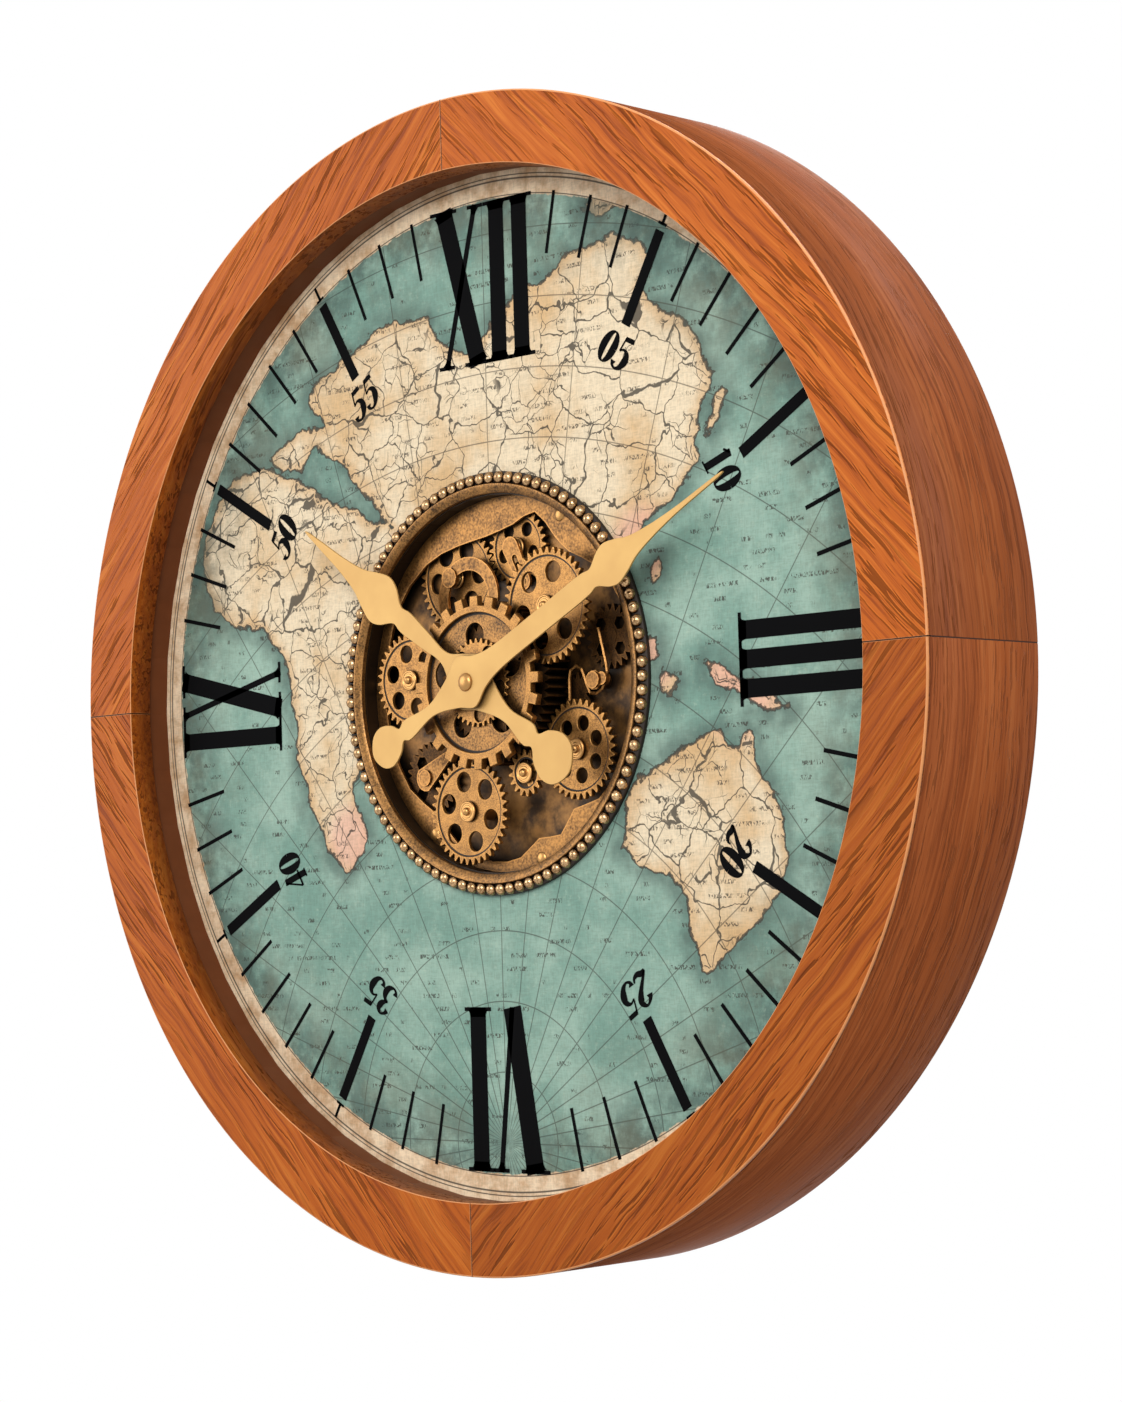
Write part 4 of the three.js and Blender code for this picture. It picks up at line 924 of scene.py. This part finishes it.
def build_beads():
    verts, faces = [], []
    for n in range(BEAD_COUNT):
        centre = polar(BEZEL_OUT - BEAD_R, 360 * (n + 0.5) / BEAD_COUNT)
        first = len(verts)
        for i in range(BEAD_HIGH + 1):
            rise = -BEAD_SUNK + (math.pi / 2 + BEAD_SUNK) * i / BEAD_HIGH
            y = BEZEL_FRONT + BEAD_DEPTH - BEAD_R * sin(rise)
            for x, z in circle(BEAD_R * cos(rise), centre, BEAD_AROUND):
                verts.append((x, y, z))
        faces += ring_faces(BEAD_HIGH + 1, BEAD_AROUND, first)
    mesh = mesh_of("bezel_beads", verts, faces)
    mesh.shade_smooth()
    link(mesh, bead_bronze, "case")


def build_bezel():
    """A lip round the well, and beside it a seat with the beads, painted dark as shade under and between
    them.
    """
    inner, outer, seat = BEZEL_IN, BEZEL_OUT, BEAD_SEAT
    back, front = BEZEL_BACK, BEZEL_FRONT
    lip = [(inner, back), (inner, front + 0.4), (inner + 0.6, front - 0.2), (seat - 1.2, front - 1.5),
           (seat - 0.4, front - 1.5), (seat, front - 1.0), (seat, back), (inner, back)]
    lip_mesh = turned_mesh("bezel_ring", lip, TURNED_STEPS)
    sharpen(link(lip_mesh, web_bronze, "case", ["beaded_bezel"]), 0.15, 2, 40)
    base = [(seat + 0.1, back), (seat + 0.1, front + 0.3), (outer - 0.5, front + 0.3), (outer, front + 0.8),
            (outer, back), (seat + 0.1, back)]
    base_mesh = turned_mesh("bezel_seat", base, TURNED_STEPS)
    base_mesh.shade_smooth()
    link(base_mesh, shade_paint, "case")
    build_beads()


build_bezel()


# Wheels

MODULE = 1.4
WHEEL_SHEET = back_of("left_gear") - front_of("left_gear")
LOWEST_BACK = back_of("upper_left_gear")
RIM_SHEET = WHEEL_SHEET - 0.3
RIM_DEPTH = 2.3
LINE_WIDTH = 0.8
WEB_DROP = 0.55
WEB_INSET = 0.1
WEB_OVERLAP = 0.4
WHEEL_BORE = 2.8
ROUND_STEPS = 64

# One tooth: height above the pitch circle in modules, and its place in shares of the pitch
TOOTH = ((-1.45, -0.5), (-1.3, -0.37), (-0.3, -0.235), (0.45, -0.15), (0.72, -0.08),
         (0.72, 0.08), (0.45, 0.15), (-0.3, 0.235), (-1.3, 0.37))

# A driver: its teeth, its centre, and the direction of its first tooth in degrees
DRUM = (59, (0, 0), 0)
CROWN = (42, (0, 0), 0)

# A wheel: its name, teeth, driver, direction from the driver's centre in degrees, and its holes,
# as their count and their radius and reach in modules
WHEELS = (
    ("bottom", 38, DRUM, 254, (6, 3.7, 11.4)),
    ("left", 35, DRUM, 174.7, (6, 3.3, 10.4)),
    ("upper_right", 41, CROWN, 38.4, (6, 3.8, 12.5)),
    ("lower_right", 35, DRUM, 326, (7, 2.8, 9.6)),
    ("small", 16, DRUM, 296, (4, 1.25, 4.4)),
    ("upper_left", 38, DRUM, 121.6, (6, 3.85, 11.1)),
)


def band_profile(inner, outer, back, front):
    """The closed section of a flat band."""
    return [(inner, back), (outer, back), (outer, front), (inner, front), (inner, back)]


def toothed(count, tooth, start=0, centre=(0, 0)):
    """A toothed outline from one tooth's radii and their places in shares of the pitch."""
    return [polar(radius, start + 360 * (i + share) / count, centre)
            for i in range(count) for radius, share in tooth]


def hole_ring(count, radii, reach, start, centre=(0, 0), steps=28):
    """Round holes at even steps on a circle. Their radii take turns."""
    return [circle(radii[i % len(radii)], polar(reach, start + 360 * i / count, centre), steps)
            for i in range(count)]


def build_wheel(name, teeth, phase, centre, holes):
    """A toothed rim, a web with holes that stands a little lower, and a dark line of painted shade between
    them.
    """
    node, body = name + "_gear", "turning_" + name
    back = back_of(node)
    rim = MODULE * (teeth / 2 - RIM_DEPTH)
    tooth = [(MODULE * (teeth / 2 + lift), share) for lift, share in TOOTH]
    loops = [toothed(teeth, tooth, phase, centre), circle(rim, centre, ROUND_STEPS)]
    mesh = flat_mesh(node + "_rim", loops, back, RIM_SHEET, 0.28)
    link(mesh, bronze, body, [node])
    count, size, reach = holes
    loops = [circle(rim + WEB_OVERLAP, centre, ROUND_STEPS), circle(WHEEL_BORE, centre, 20)]
    loops += hole_ring(count, [size * MODULE], reach * MODULE, phase, centre)
    mesh = flat_mesh(node + "_web", loops, back - WEB_INSET, RIM_SHEET - WEB_DROP - WEB_INSET, 0.3)
    link(mesh, bronze, body)
    front = back - RIM_SHEET + WEB_DROP
    line = band_profile(rim - LINE_WIDTH, rim, front + 0.2, front - 0.05)
    link(turned_mesh(node + "_line", line, ROUND_STEPS, centre), shade_paint, body)


def build_arbor(name, centre):
    """A fixed post with a washer and a small dome in front of its wheel."""
    back = back_of(name + "_gear")
    cap = back - WHEEL_SHEET - 0.3
    foot = LOWEST_BACK + 0.7
    dome = [(0, cap - 3.1), (0.9, cap - 3.0), (1.6, cap - 2.6), (2.1, cap - 1.9), (2.2, cap - 1.0)]
    washer = [(3.2, cap - 1.0), (3.5, cap - 0.7), (4.2, cap - 0.7), (4.5, cap - 1.0), (5.0, cap - 1.0),
              (5.4, cap - 0.6), (5.4, cap)]
    stem = [(2.5, cap), (2.5, back + 0.3), (4.4, back + 0.3), (4.4, foot), (0, foot)]
    mesh = turned_mesh(name + "_arbor_post", dome + washer + stem, 28, centre)
    post = link(mesh, pin_brass, "case", [name + "_arbor"])
    sharpen(post, 0.1, 1, 40)


def place_wheel(name, teeth, driver, degrees, holes):
    """A wheel in mesh with its driver, and its arbor. It can be a driver in its turn."""
    driver_teeth, driver_centre, driver_phase = driver
    centre = polar(MODULE * (driver_teeth + teeth) / 2, degrees, driver_centre)
    share = (degrees - driver_phase) / (360 / driver_teeth)
    phase = degrees + 180 - (0.5 - share) * 360 / teeth
    build_wheel(name, teeth, phase, centre, holes)
    build_arbor(name, centre)
    return teeth, centre, phase


placed = {wheel[0]: place_wheel(*wheel) for wheel in WHEELS}
place_wheel("top", 28, placed["upper_left"], 15.1, (5, 2.6, 7.9))


# Centre ring: coarse teeth round a lower disc with openings, and a fine-toothed wheel on the disc

COARSE_BACK = back_of("centre_ring")
COARSE_TEETH = 24
COARSE_TIP = 44.5
COARSE_ROOT = 39.5
COARSE_IN = 36.1
COARSE_SHEET = 3.9
COARSE_STEPS = 72
DISC_SHEET = 1.5
DISC_BORE = 7
FINE_TEETH = 36
FINE_TIP = 22.8
FINE_ROOT = 20.6
FINE_SHEET = 1.4
FINE_HOLE_R = 4.2
FINE_HOLE_REACH = 16.4
FINE_HOLE_START = 59
OPENINGS = 5
OPENING_RADII = (8.0, 6.6)
OPENING_REACH = 24.5
OPENING_START = 23


def build_centre():
    body = "centre_train"
    coarse = toothed(COARSE_TEETH, ((COARSE_ROOT, -0.5), (COARSE_ROOT, -0.28), (COARSE_TIP, -0.23),
                                    (COARSE_TIP, 0.23), (COARSE_ROOT, 0.28)))
    loops = [coarse, circle(COARSE_IN, steps=COARSE_STEPS)]
    ring = flat_mesh("coarse_ring", loops, COARSE_BACK, COARSE_SHEET, 0.35)
    link(ring, bronze, body, ["centre_ring"])
    loops = [circle(COARSE_IN + 0.5, steps=COARSE_STEPS), circle(DISC_BORE)]
    loops += hole_ring(OPENINGS, OPENING_RADII, OPENING_REACH, OPENING_START)
    disc = flat_mesh("coarse_web", loops, COARSE_BACK, DISC_SHEET, 0.2)
    link(disc, web_bronze, body)
    # A dark ring of painted shade in the gap between the coarse ring and its disc.
    gap = band_profile(COARSE_IN - 1.2, COARSE_IN, COARSE_BACK - 1.3, COARSE_BACK - 1.56)
    link(turned_mesh("coarse_gap", gap, COARSE_STEPS), shade_paint, body)
    fine = toothed(FINE_TEETH, ((FINE_ROOT, -0.5), (FINE_ROOT, -0.3), (FINE_TIP, -0.12),
                                (FINE_TIP, 0.12), (FINE_ROOT, 0.3)))
    loops = [fine, circle(DISC_BORE)]
    loops += hole_ring(OPENINGS, [FINE_HOLE_R], FINE_HOLE_REACH, FINE_HOLE_START, steps=24)
    wheel = flat_mesh("fine_wheel", loops, COARSE_BACK - DISC_SHEET, FINE_SHEET, 0.2)
    link(wheel, bronze, body)


build_centre()


# Hands

HAND_SHEET = 1.2
HAND_BEVEL = 0.2
HOUR_HAND = {"length": 153, "blade_at": 82, "blade": 13.5, "root": 3.2, "collar": 6, "hub": 15.5,
             "tail_at": 70, "tail_half": 3.8, "lobe": 13.6}
MINUTE_HAND = {"length": 198, "blade_at": 115, "blade": 11.4, "root": 6.4, "collar": 6, "hub": 14.5,
               "tail_at": 67, "tail_half": 3.3, "lobe": 11.3}


def closed_curve(points):
    """A smooth closed curve through points that stand at uneven distances."""
    pts = np.array(points, float)
    count = len(pts)
    out = []
    for i in range(count):
        p0, p1, p2, p3 = (pts[(i + k) % count] for k in (-1, 0, 1, 2))
        d1, d2, d3 = (max(math.sqrt(math.hypot(*(b - a))), 1e-6) for a, b in ((p0, p1), (p1, p2), (p2, p3)))
        t1 = ((p1 - p0) / d1 - (p2 - p0) / (d1 + d2) + (p2 - p1) / d2) * d2
        t2 = ((p2 - p1) / d2 - (p3 - p1) / (d2 + d3) + (p3 - p2) / d3) * d2
        for s in range(CURVE_STEPS):
            t = s / CURVE_STEPS
            out.append((2 * t ** 3 - 3 * t ** 2 + 1) * p1 + (t ** 3 - 2 * t ** 2 + t) * t1
                       + (-2 * t ** 3 + 3 * t ** 2) * p2 + (t ** 3 - t ** 2) * t2)
    return out


def hand_loop(length, blade_at, blade, root, collar, hub, tail_at, tail_half, lobe):
    """A hand's outline: hub, arm with a collar, shouldered blade and tip, and a tail with a round lobe."""
    upper = [(hub * 0.72, hub * 0.66), (hub * 1.5, root * 1.08), (blade_at / 2, (root + collar) / 2),
             (blade_at - blade * 1.7, collar), (blade_at - blade * 1.2, collar * 0.85),
             (blade_at - blade * 0.5, blade * 0.86), (blade_at, blade),
             (blade_at + blade * 0.7, blade * 0.8), (blade_at + blade * 1.4, blade * 0.51),
             (blade_at + blade * 2.5, blade * 0.3), (blade_at + blade * 4.2, blade * 0.14),
             (length - blade * 0.15, blade * 0.05)]
    tail = [(-tail_at - lobe * 0.6, lobe * 0.8), (-tail_at, lobe), (-tail_at + lobe * 0.7, lobe * 0.72),
            (-tail_at + lobe * 1.12, tail_half * 1.1), (-tail_at + lobe * 1.5, tail_half * 1.65),
            (-hub * 2, tail_half), (-hub * 0.75, hub * 0.62)]
    side = tail + [(0, hub)] + upper
    return closed_curve([(-tail_at - lobe, 0)] + side + [(length, 0)] + [(x, -z) for x, z in side[::-1]])


def build_hand(name, sizes, degrees, bore):
    """A hand that points so many degrees clockwise from the top."""
    turn = radians(90 - degrees)
    outline = [rotated(x, z, turn) for x, z in hand_loop(**sizes)]
    back = back_of(name + "_hand")
    mesh = flat_mesh(name + "_blade", [outline, circle(bore)], back, HAND_SHEET, HAND_BEVEL)
    link(mesh, gold, name + "_train", [name + "_hand"])


build_hand("hour", HOUR_HAND, -54, 3.6)
build_hand("minute", MINUTE_HAND, 63.6, 2.1)


# The remaining CAD pieces keep their shape, with eased edges

BLOCKS = [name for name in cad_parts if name.startswith("support_block")]
KEPT = (
    (liner, ["liner_ring"]),
    (board, ["dial_board", "back_board"] + BLOCKS),
    (plate_bronze, ["rim_plate", "arch_bridge", "top_lever", "left_lever", "right_spring"]),
    (dark_bronze, ["centre_drum", "lower_left_wheel", "right_wheel", "motor_pinion"]),
    (well_paint(), ["gear_well"]),
    (steel, ["hanger_plate", "centre_bush", "hour_tube", "minute_arbor"]),
    (black, ["movement_case", "motor_case", "setting_knob", "gear_switch"]),
    (sleeve, ["movement_cell", "motor_cell"]),
)
KEPT_EASE = 0.25
RIM_PLATE_EASE = 0.6
for paint, names in KEPT:
    for name in names:
        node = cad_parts[name]
        node.data.materials.clear()
        node.data.materials.append(paint)
        sharpen(node, RIM_PLATE_EASE if name == "rim_plate" else KEPT_EASE, 2, 35)


# Domes of the studs and the hands' nut

STUDS = 4
STUD_R = 3.6
STUD_TALL = 1.6
NUT_R = 4.6
NUT_TALL = 2.1
DOME_BASE = 0.6


def dome_over(name, body, radius, tall):
    """A smooth dome in the place of a small CAD dome."""
    low, high = np.array(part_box(name)) / MM
    foot = low[1] + tall
    profile = [(0, foot + DOME_BASE), (radius, foot + DOME_BASE)]
    for rise in np.linspace(0, math.pi / 2, 9):
        profile.append((radius * cos(rise), foot - tall * sin(rise)))
    centre = ((low[0] + high[0]) / 2, (low[2] + high[2]) / 2)
    mesh = turned_mesh(name + "_dome", profile, 28, centre)
    sharpen(link(mesh, pin_brass, body, [name]), 0.1, 1, 50)


for stud in range(1, STUDS + 1):
    dome_over("rim_stud_%d" % stud, "case", STUD_R, STUD_TALL)
dome_over("hand_nut", "minute_train", NUT_R, NUT_TALL)


# Screws at the rear

BOARD_SCREW_CIRCLE = 277
BOARD_SCREW_R = 3.6
HANGER_SCREW_X = 14
HANGER_SCREW_Z = 245
HANGER_SCREW_R = 2.7
CROSS_HALF = 0.3
CROSS_SHARE = 0.6
BOX_FACES = ((0, 1, 3, 2), (4, 6, 7, 5), (0, 4, 5, 1), (2, 3, 7, 6), (0, 2, 6, 4), (1, 5, 7, 3))


def merged(name, meshes):
    work = bmesh.new()
    for mesh in meshes:
        work.from_mesh(mesh)
    out = bpy.data.meshes.new(name)
    work.to_mesh(out)
    work.free()
    return out


def box_mesh(name, low, high):
    verts = [(x, y, z) for x in (low[0], high[0]) for y in (low[1], high[1]) for z in (low[2], high[2])]
    return mesh_of(name, verts, BOX_FACES)


def rear_screws():
    """Pan heads with a cross on the back board and on the hanger plate."""
    board_back, hanger_back = back_of("back_board"), back_of("hanger_plate")
    places = []
    for quarter in range(4):
        for side in (-9, 9):
            x, z = polar(BOARD_SCREW_CIRCLE, 45 + 90 * quarter + side)
            places.append((x, z, board_back, BOARD_SCREW_R))
    for side in (-1, 1):
        places.append((side * HANGER_SCREW_X, HANGER_SCREW_Z, hanger_back, HANGER_SCREW_R))
    heads, crosses = [], []
    for x, z, y, r in places:
        profile = [(0, y + 1.5), (r * 0.5, y + 1.4), (r * 0.85, y + 1.0), (r, y + 0.4), (r, y), (0, y)]
        heads.append(turned_mesh("head", profile, 24, (x, z)))
        for half_x, half_z in ((r * CROSS_SHARE, CROSS_HALF), (CROSS_HALF, r * CROSS_SHARE)):
            low = (x - half_x, y + 1.1, z - half_z)
            high = (x + half_x, y + 1.52, z + half_z)
            crosses.append(box_mesh("cross", low, high))
    sharpen(link(merged("rear_screws", heads), steel, "case"), 0.1, 1, 50)
    # The crosses are painted dark as shade in the screws' recesses.
    link(merged("rear_crosses", crosses), shade_paint, "case")


rear_screws()


# Camera, light and background

VIEW_AZIMUTH = radians(43.81)
VIEW_ELEVATION = radians(-3.54)
VIEW_ROLL = radians(-1.69)
VIEW_DISTANCE = 1.64696
VIEW_TARGET = Vector((0.03152, -0.040, -0.01077))
IMAGE_HEIGHT = 1402
FOCAL_PIXELS = 3224.0
SENSOR = 36

# A lamp: its name, place, size in metres and power. All of them point at the origin.
LAMPS = (
    ("key", (1.1, -2.1, 1.0), 1.2, 40),
    ("mirror", (-1.7, -1.7, 0.5), 1.7, 22),
    ("rear", (-0.9, 2.2, 0.9), 1.4, 30),
    ("top", (1.0, 0.15, 2.0), 1.0, 32),
    ("fill", (2.0, -1.9, 0.5), 1.6, 9),
)
WORLD_LIGHT = 0.42
WORLD_SEEN = 1.0


def aim_camera():
    level = cos(VIEW_ELEVATION)
    back = Vector((sin(VIEW_AZIMUTH) * level, -cos(VIEW_AZIMUTH) * level, sin(VIEW_ELEVATION)))
    right = (-back).cross(Vector((0, 0, 1))).normalized()
    up = right.cross(-back)
    turned_right = right * cos(VIEW_ROLL) + up * sin(VIEW_ROLL)
    turned_up = -right * sin(VIEW_ROLL) + up * cos(VIEW_ROLL)
    data = bpy.data.cameras.new("camera")
    data.sensor_width = SENSOR
    data.lens = FOCAL_PIXELS / IMAGE_HEIGHT * SENSOR
    data.clip_start = 0.05
    data.clip_end = 50
    camera = add("camera", data)
    place = Matrix((turned_right, turned_up, back)).transposed().to_4x4()
    place.translation = VIEW_TARGET + back * VIEW_DISTANCE
    camera.matrix_world = place
    bpy.context.scene.camera = camera


def light_studio():
    for name, place, size, power in LAMPS:
        data = bpy.data.lights.new(name, "AREA")
        data.shape = "DISK"
        data.size = size
        data.energy = power
        lamp = add(name, data)
        lamp.location = place
        lamp.rotation_mode = "QUATERNION"
        lamp.rotation_quaternion = (-Vector(place)).to_track_quat("-Z", "Y")


def white_world():
    """A white background. It lights the clock less brightly than it is seen or mirrored."""
    world = bpy.data.worlds.new("studio")
    bpy.context.scene.world = world
    world.use_nodes = True
    nodes = world.node_tree.nodes
    join = world.node_tree.links.new
    nodes.clear()
    out = nodes.new("ShaderNodeOutputWorld")
    ground = nodes.new("ShaderNodeBackground")
    ground.inputs[0].default_value = (1, 1, 1, 1)
    path = nodes.new("ShaderNodeLightPath")
    level = nodes.new("ShaderNodeMix")
    level.inputs[2].default_value = WORLD_LIGHT
    level.inputs[3].default_value = WORLD_SEEN
    seen = path.outputs["Is Camera Ray"]
    for ray in ("Is Glossy Ray", "Is Transmission Ray"):
        either = nodes.new("ShaderNodeMath")
        either.operation = "MAXIMUM"
        join(seen, either.inputs[0])
        join(path.outputs[ray], either.inputs[1])
        seen = either.outputs[0]
    join(seen, level.inputs[0])
    join(level.outputs[0], ground.inputs[1])
    join(ground.outputs[0], out.inputs[0])


aim_camera()
light_studio()
white_world()
bpy.context.scene.view_settings.view_transform = "Standard"
